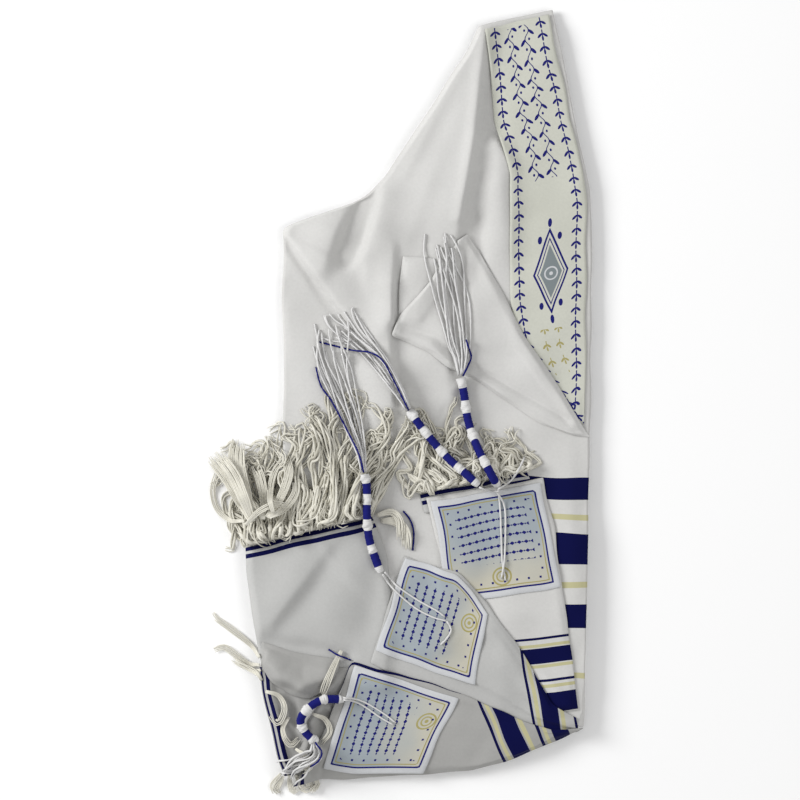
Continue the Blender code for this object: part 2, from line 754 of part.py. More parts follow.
def main():
    clear_scene()
    heap = Heap()
    lay_core(heap)
    lay_sheet(heap, "front_panel", FRONT, 14, 20, FRONT_FOLDS, OFF_WHITE, puff=1.0)
    lay_sheet(heap, "neckband", NECKBAND, 5, 18, [], PALE_GOLD, puff=0.3)
    lay_sheet(heap, "tucked_flap", TUCKED, 4, 14, [], OFF_WHITE)
    lay_sheet(heap, "fold_over", FOLD_OVER, 8, 13, FOLD_OVER_FOLDS, OFF_WHITE, puff=1.2)
    under_d = lay_sheet(heap, "end_d", END_D, 7, 14, [], OFF_WHITE)
    lay_sheet(heap, "panel_a", PANEL_A, 8, 15, PANEL_A_FOLDS, OFF_WHITE)
    lay_sheet(heap, "patch_a", PATCH_A, 6, 16, [], PATCH_GROUND, puff=0.2)
    under_l = lay_sheet(heap, "panel_l", PANEL_L, 9, 14, PANEL_L_FOLDS, OFF_WHITE)
    under_corner = lay_sheet(heap, "corner_panel", CORNER, 6, 13, CORNER_FOLDS, OFF_WHITE)
    lay_sheet(heap, "rolled_flap", ROLLED, 4, 10, ROLLED_FOLDS, OFF_WHITE)
    lay_sheet(heap, "panel_b", PANEL_B, 7, 13, PANEL_B_FOLDS, OFF_WHITE)
    lay_sheet(heap, "patch_b", PATCH_B, 6, 16, [], PATCH_GROUND, puff=0.2)
    lay_sheet(heap, "panel_c", PANEL_C, 7, 13, PANEL_C_FOLDS, OFF_WHITE)
    lay_sheet(heap, "patch_c", PATCH_C, 6, 16, [], PATCH_GROUND, puff=0.2)
    lay_fringe(heap, "fringe_right", under_d, RIGHT_END, 28, RIGHT_GUIDES, 2.4, 5, 7)
    lay_fringe(heap, "fringe_left", under_l, LEFT_END, 38, LEFT_GUIDES, 2.6, 6, 11)
    lay_fringe(heap, "fringe_corner", under_l, CORNER_EDGE, 3, CORNER_GUIDES, 3.0, 1, 3)
    lay_fringe(heap, "fringe_tip", under_corner, CORNER_END, 3, TIP_GUIDES, 3.0, 0, 5)
    for name, table in TASSELS.items():
        lay_tassel(heap, name, table["head"], table["strands"])


main()
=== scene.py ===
"""The looks of a tallit prayer shawl, folded end to end and laid flat, made over its solids.

Metres, in the frame of the solids. Tables give places in millimetres from the part's origin.
Each stretch of cloth, lock and strand is laid on the heap of those before it.
"""

from collections import namedtuple

import bpy
import numpy as np
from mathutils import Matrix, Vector


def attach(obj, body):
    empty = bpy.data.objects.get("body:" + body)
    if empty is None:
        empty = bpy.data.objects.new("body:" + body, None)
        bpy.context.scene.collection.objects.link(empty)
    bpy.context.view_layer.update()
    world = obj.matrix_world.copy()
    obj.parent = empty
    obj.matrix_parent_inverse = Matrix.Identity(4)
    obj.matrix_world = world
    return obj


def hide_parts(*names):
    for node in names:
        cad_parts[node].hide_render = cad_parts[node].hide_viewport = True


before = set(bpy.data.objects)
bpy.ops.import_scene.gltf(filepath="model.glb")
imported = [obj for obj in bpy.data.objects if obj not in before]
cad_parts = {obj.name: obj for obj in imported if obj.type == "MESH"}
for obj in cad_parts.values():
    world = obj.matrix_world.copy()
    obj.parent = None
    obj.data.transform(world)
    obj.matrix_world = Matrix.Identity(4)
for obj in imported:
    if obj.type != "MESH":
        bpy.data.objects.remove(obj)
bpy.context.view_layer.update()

MM = 0.001

# Cloth
WALL = 1.1 * MM
PATCH_WALL = 0.6 * MM
GAP = 0.25 * MM
STEP = 2.5 * MM
EASE = 6 * MM
SAG = 0.10 * MM
DRAPE_ROUNDS = 120
RIM_FADE = 6 * MM
RIM_BULGE = 0.3 * MM
CREASE_HEIGHT = 0.7 * MM
CREASES = 9
SHORTEST_CREASE = 34 * MM
LONGEST_CREASE = 110 * MM
WARP = 0.8 * MM

# Hidden layers
LAYERS = 6
LEVELS = 5
LAYER_BULGE = 0.7 * MM
LAYER_SLIP = 2.6 * MM
LONG_SWAY = 70 * MM
SHORT_SWAY = 31 * MM
CROWN = 0.5 * MM

# Yarn
LOCK_RADIUS = 1.5 * MM
LOCK_SINK = 0.1
PLIES = 3
STRIP_WIDE = 2.4 * MM
STRIP_THICK = 1.2 * MM
LOOPED = 0.35
SCATTER = 8 * MM
CURL = 6 * MM
LEFT_LOCKS = 92
RIGHT_LOCKS = 58
HOOK_TURN = 1.3
PLY_PITCHES = (40 * MM, 90 * MM)
PLY_STEP = 2.3 * MM
KNOT_RADIUS = 2.0 * MM
LONGEST_HOOK = 7 * MM
YARN_STEP = 3 * MM
HEADING_RADIUS = 1.4 * MM
HEADING_STEP = 1.5 * MM
STRANDS = 12
STRAND_RADIUS = 0.8 * MM
HEAD_RADIUS = 4.0 * MM
HEAD_STEP = 0.55 * MM
HEAD_SIDES = 18
KNOT_LUMPS = 0.13
WINDING_PITCH = 1.7 * MM
WINDING_DEPTH = 0.05
KNOT_SWELL = 1.05
KNOT_TURN = 9 * MM
FINE_RADIUS = 0.6 * MM
FINE_APART = 1.05

# Finish: threads are an angle of their weave for each millimetre
THREADS_A_MM = 7.5
BUMP_DEPTH = 0.4 * MM
SHINE = 0.1
SHEEN = 0.02
SHEEN_ROUGHNESS = 0.5

# Colours
OFF_WHITE = (0.595, 0.59, 0.575)
# A darker copy of the off-white for the end, panel L and panel B: painted shade, the same cloth in less
# light
SHADED_END_WHITE = (0.465, 0.465, 0.455)
# A still darker copy of the off-white for panel C, the corner and the rolled flap: painted shade of the
# lowest stretches
SHADED_LOW_WHITE = (0.375, 0.372, 0.36)
CREAM = (0.68, 0.66, 0.585)
TASSEL_WHITE = (0.66, 0.655, 0.65)
# A darker copy of the fringe cream for one ply of each lock: painted shade
SHADE_CREAM = (0.55, 0.53, 0.455)
NECK_GROUND = (0.56, 0.565, 0.50)
PATCH_BLUE = (0.34, 0.38, 0.41)
PATCH_CREAM = (0.52, 0.50, 0.42)
HEM_WHITE = (0.56, 0.57, 0.585)
NAVY = (0.002, 0.003, 0.05)
ROYAL = (0.010, 0.012, 0.14)
GOLD = (0.50, 0.475, 0.28)
DEEP_GOLD = (0.36, 0.32, 0.13)
SILVER = (0.20, 0.23, 0.24)
FLOOR = (0.97, 0.97, 0.97)

# The first sheet's seed, and one more for each sheet after it
FIRST_SEED = 3

# Each stretch of cloth, row by row: left x and y, right x and y
CORE = [
    (77, 350, 141, 364), (73, 342, 143, 357), (24, 267, 160, 276), (-13, 213, 171, 227),
    (-32, 192, 177, 198), (-72, 176, 178, 180), (-107, 161, 179, 166), (-108, 60, 179, 60),
    (-108, -45, 177, -45), (-108, -100, 175, -100), (-128, -128, 174, -128), (-139, -142, 173, -142),
    (-136, -185, 172, -185), (-129, -240, 171, -240), (-126, -272, 170, -272), (-120, -300, 169, -300),
    (-114, -324, 124, -324), (-110, -341, 76, -341), (-106, -350, 14, -347),
]
CORE_HEIGHTS = [3.5, 6.5, 6.5, 6.5, 6.5, 6.5, 6.5, 6.5, 6.5, 8, 11, 12, 13, 13, 13, 13, 12, 10, 7]
FRONT = [
    (75, 353, 143, 369), (58, 323, 151, 335), (23, 267, 162, 276), (-14, 213, 173, 228),
    (-33, 192, 178, 199), (-74, 177, 179, 182), (-110, 163, 180, 166), (-110, 95, 180, 95),
    (-110, 20, 179, 20), (-110, -45, 178, -45), (-110, -95, 177, -110), (-40, -170, 176, -190),
    (40, -240, 174, -250), (132, -296, 172, -306),
]
NECKBAND = [
    (80, 350, 140, 364), (85, 312, 149, 321), (90, 262, 160, 267), (97, 236, 167, 240),
    (104, 214, 172, 217), (104, 185, 175, 189), (103, 147, 175, 152), (105, 95, 175, 95),
    (112, 52, 175, 53), (138, 16, 175, 18), (165, -22, 173, -20),
]
TUCKED = [(2, 136, 55, 131), (0, 110, 37, 105), (-1, 82, 18, 80)]
FOLD_OVER = [
    (54, 152, 64, 158), (29, 112, 75, 141), (0, 82, 89, 114), (-8, 61, 104, 85), (28, 48, 120, 60),
    (44, 33, 137, 33), (70, 20, 153, 7), (96, 3, 165, -12), (133, -21, 174, -27), (164, -31, 178, -33),
]
END_D = [(19, -87, 119, -66), (24, -106, 127, -86)]
PANEL_A = [
    (25, -91, 134, -72), (34, -130, 144, -119), (47, -177, 153, -173), (75, -215, 157, -218),
    (105, -252, 163, -255), (139, -292, 168, -289),
]
PATCH_A = [(29, -95, 132, -76), (38, -142, 141, -124), (46, -190, 150, -174)]
PANEL_L = [
    (-146, -137, -26, -108), (-145, -158, -11, -149), (-140, -196, -8, -187), (-134, -229, -9, -234),
    (-129, -254, -14, -271),
]
PANEL_B = [
    (-28, -245, 5, -145), (0, -258, 28, -152), (28, -268, 54, -161), (58, -279, 81, -189),
    (87, -292, 99, -215), (113, -301, 122, -247), (143, -309, 141, -283), (166, -308, 166, -298),
]
PATCH_B = [(-22, -234, 5, -147), (8, -245, 29, -153), (38, -256, 53, -162), (70, -265, 82, -199)]
CORNER = [
    (-132, -250, -45, -250), (-130, -271, -47, -276), (-122, -304, -61, -313), (-115, -337, -76, -339),
    (-110, -353, -82, -353),
]
PANEL_C = [
    (-99, -363, -88, -347), (-74, -356, -45, -244), (-50, -356, -19, -251), (-14, -353, 19, -262),
    (23, -351, 56, -274), (66, -347, 101, -293), (99, -339, 122, -302), (132, -327, 143, -309),
    (160, -314, 172, -308),
]
PATCH_C = [(-72, -346, -42, -248), (-45, -350, -11, -257), (-13, -350, 21, -268), (21, -350, 54, -278)]
ROLLED = [
    (-130, -246, -130, -226), (-120, -264, -117, -230), (-103, -275, -102, -234), (-85, -279, -83, -238),
    (-69, -270, -66, -240), (-58, -252, -56, -242),
]

# A fold: points along it with its height at each, then how far it reaches to the left and right of its way
Fold = namedtuple("Fold", "line left right")
FRONT_FOLDS = [
    Fold([(80, 345, 4), (74, 290, 9), (70, 250, 12), (64, 215, 13), (57, 180, 12), (50, 146, 5)], 7, 36),
    Fold([(78, 343, 1.5), (68, 250, 2.5), (55, 172, 2)], 3, 6),
    Fold([(85, 305, -2), (89, 280, -5), (92, 255, -4)], 7, 7),
    Fold([(90, 232, 3), (93, 205, 8), (95, 175, 7), (97, 135, 3), (98, 110, 1)], 14, 17),
    Fold([(82, 250, 2), (90, 243, 4.5), (104, 221, 2)], 4, 13),
    Fold([(72, 172, -3), (76, 140, -3), (74, 118, -1)], 7, 7),
    Fold([(60, 320, 1), (28, 262, 3), (5, 218, 2)], 8, 22),
    Fold([(48, 262, 1), (24, 205, 3.5), (4, 150, 2)], 12, 22),
    Fold([(-30, 192, -5), (-40, 163, -8), (-50, 138, -9), (-53, 132, -5)], 8, 8),
    Fold([(-14, 194, 4), (-22, 166, 7), (-32, 136, 6), (-28, 112, 2)], 18, 8),
    Fold([(-50, 184, 5), (-62, 158, 9), (-72, 128, 5)], 8, 24),
    Fold([(-98, 155, -1.5), (-56, 137, -3)], 9, 4),
    Fold([(-104, 156, 4), (-59, 94, 7), (-29, 54, 7), (-7, 28, 4)], 30, 4),
    Fold([(-107, 150, -3), (-64, 89, -5), (-34, 49, -5), (-12, 24, -3)], 3, 4),
    Fold([(-6, 141, 3), (-7, 112, 9), (-8, 78, 9.5)], 2.8, 16),
    Fold([(-9, 60, 7), (-8, 28, 8), (-7, 0, 5)], 2.8, 18),
    Fold([(29, 48, 3), (44, 27, 5), (47, 8, 5), (38, -6, 3)], 4, 24),
    Fold([(-42, 34, -3), (-36, -25, -3)], 10, 14),
    Fold([(-88, 60, 1.5), (-66, -40, 4)], 22, 20),
    Fold([(20, 125, 2), (10, 80, 2)], 8, 12),
    Fold([(160, -40, 1), (160, -110, 2), (163, -190, 1.5)], 9, 14),
]
FOLD_OVER_FOLDS = [
    Fold([(64, 152, 1), (104, 84, 2.2), (137, 32, 2), (168, -20, 0.5)], 5, 22),
    Fold([(10, 74, 1.5), (58, 60, 1.5)], 8, 12),
    Fold([(-4, 65, 1.6), (30, 53, 1.6), (47, 37, 1.6), (98, 8, 1.4), (160, -26, 1)], 4, 3),
    Fold([(0, 72, -1.4), (34, 60, -1.4), (53, 43, -1.4), (103, 14, -1.4), (160, -18, -1)], 2.4, 2.4),
    Fold([(56, 138, -2), (62, 70, -1)], 6, 10),
    Fold([(24, 96, 2), (40, 66, 2)], 9, 12),
]
PANEL_L_FOLDS = [
    Fold([(-66, -132, 3), (-92, -168, 6.5), (-120, -204, 5)], 8, 28),
    Fold([(-44, -160, 2), (-70, -200, 3.5), (-100, -228, 2)], 26, 18),
    Fold([(-20, -150, -1.5), (-30, -210, -2)], 10, 14),
    Fold([(-128, -226, -4), (-90, -232, -4), (-50, -240, -3)], 8, 5),
]
PANEL_A_FOLDS = [
    Fold([(75, -204, 1.2), (150, -198, 1)], 8, 14),
    Fold([(120, -240, 1.5), (158, -285, 1.8)], 6, 8),
    Fold([(60, -196, -1), (100, -244, -1)], 4, 6),
]
PANEL_B_FOLDS = [
    Fold([(86, -216, 1.5), (135, -283, 2.5)], 5, 12),
    Fold([(95, -285, 1.2), (100, -225, 1.2)], 10, 14),
]
PANEL_C_FOLDS = [
    Fold([(60, -300, 1.5), (120, -320, 1.8)], 12, 14),
    Fold([(-55, -285, 1.5), (-62, -335, 2)], 10, 14),
    Fold([(70, -335, -0.8), (95, -300, -0.8)], 8, 8),
]
CORNER_FOLDS = [
    Fold([(-123, -266, 4), (-108, -340, 5)], 4, 5),
    Fold([(-76, -290, 7), (-96, -350, 6)], 4, 8),
    Fold([(-102, -276, -3), (-94, -335, -3.4)], 4, 5),
    Fold([(-60, -262, 4.5), (-84, -300, 6)], 4, 5),
    Fold([(-116, -292, 4.5), (-94, -310, 6)], 3, 5),
    Fold([(-110, -316, 5), (-86, -334, 4)], 3, 4),
    Fold([(-92, -270, 4), (-66, -288, 5)], 3, 4),
    Fold([(-106, -284, 4), (-100, -300, 3)], 3, 3),
]
ROLLED_FOLDS = [
    Fold([(-124, -242, 6), (-112, -259, 10), (-92, -267, 11), (-70, -259, 7)], 13, 5),
    Fold([(-124, -231, -2), (-90, -240, -3), (-62, -247, -1)], 5, 3),
]

# Fringe, from root to tip: share along the edge, then where a lock's middle and tip lie
Guide = namedtuple("Guide", "share middle_x middle_y tip_x tip_y")
LEFT_GUIDES = [
    Guide(0.00, -160, -98, -166, -62), Guide(0.10, -148, -90, -158, -52), Guide(0.22, -135, -80, -138, -48),
    Guide(0.35, -112, -75, -105, -42), Guide(0.50, -88, -62, -78, -18), Guide(0.65, -62, -55, -60, -5),
    Guide(0.80, -40, -48, -30, -8), Guide(1.00, -10, -60, 8, -40),
]
RIGHT_GUIDES = [
    Guide(0.00, 8, -58, -6, -16), Guide(0.35, 42, -52, 34, -22), Guide(0.70, 80, -48, 76, -18),
    Guide(1.00, 112, -48, 108, -40),
]

# Flat ribbons of loose fringe: width, then the way from root to tip
LEFT_RIBBONS = [
    (5.0, [(-146, -112), (-160, -112), (-172, -102), (-177, -86), (-174, -72), (-168, -62)]),
    (16.0, [(-138, -112), (-148, -94), (-158, -76), (-168, -62), (-177, -50)]),
    (15.0, [(-136, -110), (-144, -92), (-151, -70), (-154, -52), (-152, -36)]),
    (11.0, [(-137, -112), (-146, -90), (-158, -66), (-172, -50)]),
    (9.0, [(-128, -110), (-128, -90), (-132, -72), (-137, -60)]),
    (8.0, [(-124, -108), (-112, -90), (-104, -68), (-108, -52)]),
    (7.0, [(-122, -108), (-108, -100), (-98, -86), (-98, -70)]),
    (5.0, [(-144, -115), (-132, -103), (-117, -96), (-104, -98)]),
    (6.0, [(-118, -104), (-122, -86), (-118, -66), (-110, -54), (-118, -42)]),
    (9.0, [(-18, -112), (-4, -113), (5, -122), (7, -139)]),
    (7.0, [(-22, -107), (-8, -104), (0, -112), (0, -130)]),
]
CORNER_RIBBONS = [
    (5.0, [(-132, -240), (-142, -229), (-158, -216), (-172, -206), (-177, -200)]),
    (5.0, [(-132, -247), (-142, -248), (-154, -240), (-166, -232), (-178, -236)]),
    (4.0, [(-131, -252), (-138, -254), (-150, -248), (-158, -243)]),
    (4.0, [(-130, -262), (-134, -256), (-146, -250), (-156, -246)]),
    (6.0, [(-55, -234), (-62, -248), (-68, -262), (-73, -277)]),
    (5.0, [(-126, -272), (-114, -276), (-108, -288), (-114, -301), (-121, -294)]),
    (4.5, [(-104, -296), (-110, -308), (-103, -322), (-94, -316)]),
    (4.5, [(-82, -292), (-70, -298), (-66, -310), (-74, -321)]),
    (4.0, [(-98, -326), (-88, -332), (-84, -342), (-92, -348)]),
]
TIP_RIBBONS = [
    (5.0, [(-92, -352), (-86, -360), (-82, -366), (-78, -360)]),
    (5.0, [(-98, -352), (-94, -362), (-90, -367), (-84, -364)]),
    (4.5, [(-104, -352), (-104, -362), (-101, -368), (-96, -364)]),
    (4.5, [(-110, -353), (-114, -362), (-117, -368), (-112, -369)]),
    (4.0, [(-112, -350), (-118, -358), (-121, -364), (-118, -369)]),
    (4.0, [(-86, -352), (-80, -356), (-78, -362), (-84, -368)]),
]

# Corner tassels: how thick the head is along its way, and which stretches of it are wound in blue
HEAD_BEADS = [
    (0.00, 0.70), (0.04, 0.98), (0.20, 0.98), (0.23, 1.14), (0.27, 0.95), (0.44, 0.95), (0.49, 1.14),
    (0.54, 0.95), (0.69, 0.95), (0.74, 1.14), (0.79, 0.95), (0.91, 0.95), (0.95, 1.16), (1.00, 1.05),
]
BLUE_WOUND = [(0.06, 0.20), (0.29, 0.44), (0.55, 0.69), (0.80, 0.91)]
# Each tassel: the head's way from the cloth's corner, the way of its strands with half their width there,
# its blue strands, and the cords that tie it to the corner
TASSELS = {
    "tassel_1": {
        "head": [(92, -80), (84, -66), (72, -42), (64, -18), (60, 8), (57, 22)],
        "bundle": [(57, 24, 2), (57, 42, 7), (54, 58, 11), (49, 95, 13), (42, 130, 12), (36, 160, 9)],
        "blue": [[(59, 24), (64, 34), (67, 42), (64, 52), (62, 58)]],
        "loops": [[(92, -82), (94, -100), (95, -125), (96, -150), (99, -168)],
                  [(90, -84), (98, -98), (99, -122), (98, -148), (95, -166)],
                  [(92, -82), (104, -74), (112, -62), (117, -52)]],
    },
    "tassel_2": {
        "head": [(73, -78), (62, -68), (44, -52), (28, -34), (17, -20), (10, -10)],
        "bundle": [(8, -8, 2), (-2, 12, 5), (-20, 40, 7), (-40, 60, 9), (-58, 76, 15), (-62, 84, 17)],
        "blue": [[(8, -8), (-6, 20), (-16, 38), (-28, 46), (-44, 48), (-60, 52), (-76, 56)]],
        "loops": [[(74, -80), (84, -84), (92, -84)]],
    },
    "tassel_3": {
        "head": [(-18, -160), (-22, -150), (-29, -128), (-31, -104), (-31, -82), (-33, -68)],
        "bundle": [(-34, -66, 2), (-37, -46, 4), (-47, -16, 9), (-58, 16, 12), (-66, 46, 13),
                   (-68, 74, 13)],
        "blue": [[(-34, -66), (-38, -50), (-48, -30), (-64, 0), (-74, 14), (-79, 32)],
                 [(3, -103), (10, -112), (13, -124), (12, -140)]],
        "loops": [[(-16, -162), (-8, -174), (12, -192), (30, -202), (44, -206)],
                  [(-14, -160), (-4, -172), (16, -186), (34, -196), (42, -202)],
                  [(44, -206), (48, -214), (44, -222), (38, -228)]],
    },
    "tassel_4": {
        "head": [(-53, -279), (-72, -279), (-86, -287), (-93, -298), (-89, -309), (-79, -319)],
        "bundle": [(-80, -320, 2), (-80, -330, 7), (-94, -340, 8), (-109, -352, 9)],
        "blue": [[(-79, -319), (-73, -327), (-76, -336), (-84, -342)],
                 [(-67, -233), (-60, -237), (-46, -243)]],
        "loops": [[(-53, -279), (-44, -281), (-34, -286), (-18, -297), (-6, -304)],
                  [(-53, -277), (-42, -279), (-30, -284), (-14, -294), (-4, -302)]],
    },
}

# Woven stripes: the stretches of blue, then of gold, across the stripes in millimetres
STRIPES = {
    "front": ([(0, 20.5), (53, 82), (118.6, 141)], [(34.5, 40), (98, 103.5), (184, 189)]),
    "panel_a": ([(-1.2, 1.2), (9.4, 24), (38.6, 41), (51, 69)], [(5.4, 8.4), (25, 28), (43.5, 46.5)]),
    "panel_b": ([(-1.3, 1.3), (9, 24), (37, 39.5)], [(3.4, 7), (25.5, 29)]),
    "panel_c": ([(-1.4, 1.4), (9, 25.5), (39, 42), (52, 66)], [(3.6, 7), (27, 31), (44.5, 48)]),
}
STRIPED_WIDTH = 62


class Heap:
    """The height of what is laid so far, on a square grid seen from above."""

    CELL = 1 * MM
    LOW_X, LOW_Y = -240 * MM, -420 * MM
    WIDE, LONG = 480, 840

    def __init__(self):
        self.top = np.zeros((self.WIDE, self.LONG))

    def cells(self, x, y):
        across = np.clip(((x - self.LOW_X) / self.CELL).astype(int), 0, self.WIDE - 1)
        along = np.clip(((y - self.LOW_Y) / self.CELL).astype(int), 0, self.LONG - 1)
        return across, along

    def add(self, grid):
        """Add a grid of points, by spots that lie closer together than the cells."""
        a, b, c, d = grid[:-1, :-1], grid[1:, :-1], grid[1:, 1:], grid[:-1, 1:]
        shares = np.linspace(0, 1, 5)
        for u in shares:
            for v in shares:
                spot = a * (1 - u) * (1 - v) + b * u * (1 - v) + c * u * v + d * (1 - u) * v
                np.maximum.at(self.top, self.cells(spot[..., 0], spot[..., 1]), spot[..., 2])

    def add_line(self, path, radius, rise):
        """Add a round strand that stands so much above its own middle line."""
        run = running(path[:, :2])
        at = np.arange(0, run[-1], 0.7 * self.CELL)
        x, y, z = (np.interp(at, run, path[:, k]) for k in range(3))
        reach = int(np.ceil(radius / self.CELL))
        for i in range(-reach, reach + 1):
            for j in range(-reach, reach + 1):
                share = np.hypot(i, j) * self.CELL / (radius + 0.3 * self.CELL)
                if share < 1:
                    cells = self.cells(x + i * self.CELL, y + j * self.CELL)
                    np.maximum.at(self.top, cells, z + rise * np.sqrt(1 - share ** 2))

    def peak(self, x, y, reach):
        """The highest that the heap gets round each point."""
        best = np.zeros(len(x))
        for angle in np.linspace(0, 2 * np.pi, 9)[:-1]:
            for share in (0.5, 1.0):
                cells = self.cells(x + share * reach * np.cos(angle), y + share * reach * np.sin(angle))
                best = np.maximum(best, self.top[cells])
        return np.maximum(best, self.top[self.cells(x, y)])

    def cover(self, reach, ease):
        """A soft surface that clears the heap."""
        near = spread(self.top, int(np.ceil(reach / self.CELL)) + 1)
        soft = max(1, int(np.ceil(ease / self.CELL)) // 2)
        return blurred(blurred(spread(near, 2 * soft), soft), soft)

    def read(self, cover, x, y):
        """The height of a cover of the heap at each point, between the middles of its cells."""
        across = np.clip((x - self.LOW_X) / self.CELL - 0.5, 0, self.WIDE - 2)
        along = np.clip((y - self.LOW_Y) / self.CELL - 0.5, 0, self.LONG - 2)
        i, j = across.astype(int), along.astype(int)
        u, v = across - i, along - j
        low = cover[i, j] * (1 - v) + cover[i, j + 1] * v
        high = cover[i + 1, j] * (1 - v) + cover[i + 1, j + 1] * v
        return low * (1 - u) + high * u


def spread(values, cells):
    """The largest value within a square of so many cells each way."""
    out = values
    for axis in (0, 1):
        best = out.copy()
        for shift in range(1, cells + 1):
            best = np.maximum(best, np.maximum(np.roll(out, shift, axis), np.roll(out, -shift, axis)))
        out = best
    return out


def blurred(values, cells):
    """The mean within a square of so many cells each way."""
    out = values
    for axis in (0, 1):
        total = out.copy()
        for shift in range(1, cells + 1):
            total = total + np.roll(out, shift, axis) + np.roll(out, -shift, axis)
        out = total / (2 * cells + 1)
    return out


def running(points):
    """The distance along a row of points."""
    return np.concatenate([[0], np.cumsum(np.linalg.norm(np.diff(points, axis=0), axis=1))])


def unit(steps):
    """Steps made 1 long."""
    return steps / np.maximum(np.linalg.norm(steps, axis=-1, keepdims=True), 1e-9)


def softened(values, rounds):
    """A row of values with its corners rounded, and its two ends kept."""
    out = values.copy()
    for _ in range(rounds):
        out[1:-1] = (out[:-2] + 2 * out[1:-1] + out[2:]) / 4
    return out


def ruled(rows, step):
    """A grid of plan points between the two ends of each row."""
    ends = np.array(rows, dtype=float) * MM
    run = running((ends[:, :2] + ends[:, 2:]) / 2)
    count = max(3, int(round(run[-1] / step)) + 1)
    places = np.linspace(0, run[-1], count)
    sides = np.stack([softened(np.interp(places, run, ends[:, k]), 2) for k in range(4)], axis=-1)
    widest = np.linalg.norm(ends[:, 2:] - ends[:, :2], axis=1).max()
    share = np.linspace(0, 1, max(4, int(round(widest / step)) + 1))[None, :, None]
    return sides[:, None, :2] * (1 - share) + sides[:, None, 2:] * share


def sides_away(plan):
    """How far each point of a plan grid is from the grid's left, right, first and last sides."""
    across = np.linalg.norm(np.diff(plan, axis=1), axis=-1)
    along = np.linalg.norm(np.diff(plan, axis=0), axis=-1)
    left = np.concatenate([np.zeros((plan.shape[0], 1)), np.cumsum(across, axis=1)], axis=1)
    start = np.concatenate([np.zeros((1, plan.shape[1])), np.cumsum(along, axis=0)], axis=0)
    return left, left[:, -1:] - left, start, start[-1:] - start


def relief(folds, x, y):
    """How far folds lift or sink the cloth."""
    lift = np.zeros(x.shape)
    for fold in folds:
        line = np.array(fold.line, dtype=float) * MM
        nearest = np.full(x.shape, 1e9)
        rise = np.zeros(x.shape)
        for start, stop in zip(line[:-1], line[1:]):
            way = stop[:2] - start[:2]
            share = ((x - start[0]) * way[0] + (y - start[1]) * way[1]) / (way @ way)
            share = np.clip(share, 0, 1)
            dx, dy = x - start[0] - share * way[0], y - start[1] - share * way[1]
            distance = np.hypot(dx, dy)
            lean = (way[0] * dy - way[1] * dx) / np.maximum(np.hypot(*way) * distance, 1e-9)
            off = distance / (((1 + lean) * fold.left + (1 - lean) * fold.right) / 2 * MM)
            height = start[2] + (stop[2] - start[2]) * share
            closer = off < nearest
            nearest = np.where(closer, off, nearest)
            rise = np.where(closer, height, rise)
        lift += rise * np.exp(-nearest ** 2)
    return lift


def draped(base, start):
    """How cloth that starts high lies down, and sags between the spots that hold it up."""
    z = np.maximum(start, base)
    for turn in range(DRAPE_ROUNDS):
        wide = np.pad(z, 1, mode="edge")
        mean = (wide[:-2, 1:-1] + wide[2:, 1:-1] + wide[1:-1, :-2] + wide[1:-1, 2:]) / 4
        z = np.maximum(base, mean - (SAG if turn < DRAPE_ROUNDS - 4 else 0))
    return z


def creases(x, y, seed):
    """Small soft creases with no one direction."""
    random = np.random.default_rng(seed)
    total = np.zeros(x.shape)
    for _ in range(CREASES):
        angle = random.uniform(0, np.pi)
        length = random.uniform(SHORTEST_CREASE, LONGEST_CREASE)
        phase = random.uniform(0, 2 * np.pi)
        total += np.sin(2 * np.pi * (x * np.cos(angle) + y * np.sin(angle)) / length + phase) / 3
    return total


def rim_of(rows, columns):
    """The rim of a grid, as rows and columns of its points in turn."""
    down = [(i, 0) for i in range(rows)]
    across = [(rows - 1, j) for j in range(1, columns)]
    up = [(i, columns - 1) for i in range(rows - 2, -1, -1)]
    back = [(0, j) for j in range(columns - 2, 0, -1)]
    return np.array(down + across + up + back)


def grid_quads(rows, columns, first=0, turned=False):
    """The faces of a grid whose points are counted row by row from the first."""
    at = first + np.arange(rows * columns).reshape(rows, columns)
    quads = np.stack([at[:-1, :-1], at[1:, :-1], at[1:, 1:], at[:-1, 1:]], axis=-1).reshape(-1, 4)
    return quads[:, ::-1] if turned else quads


def shell(top, bottom, bands):
    """Points and faces of a closed shell between two grids, with bands of points round its rim."""
    rows, columns = top.shape[:2]
    count = rows * columns
    rim = rim_of(rows, columns)
    at = rim[:, 0] * columns + rim[:, 1]
    between = [2 * count + k * len(rim) + np.arange(len(rim)) for k in range(len(bands))]
    rings = [at, *between, count + at]
    points = np.concatenate([top.reshape(-1, 3), bottom.reshape(-1, 3), *bands])
    faces = [grid_quads(rows, columns), grid_quads(rows, columns, count, True)]
    for high, low in zip(rings[:-1], rings[1:]):
        faces.append(np.stack([np.roll(high, -1), high, low, np.roll(low, -1)], axis=-1))
    return points, np.concatenate(faces).tolist()


def add_piece(name, points, faces, materials, node, values=None, chosen=None):
    """Make a piece that rides on the shawl, and stands for the named solid."""
    mesh = bpy.data.meshes.new(name)
    mesh.from_pydata(points.tolist(), [], faces)
    mesh.update()
    mesh.shade_smooth()
    for made in materials:
        mesh.materials.append(made)
    if chosen is not None:
        mesh.polygons.foreach_set("material_index", chosen)
    for key, numbers in (values or {}).items():
        kept = mesh.attributes.new(key, "FLOAT", "POINT")
        kept.data.foreach_set("value", numbers.astype(np.float32))
    piece = bpy.data.objects.new(name, mesh)
    bpy.context.scene.collection.objects.link(piece)
    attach(piece, "root")
    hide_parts(node)
    return piece


# A stretch of cloth: stripes are the place where they start and the angle that they run at
Sheet = namedtuple("Sheet", "name rows folds finish puff rests_on stripes", defaults=[None])


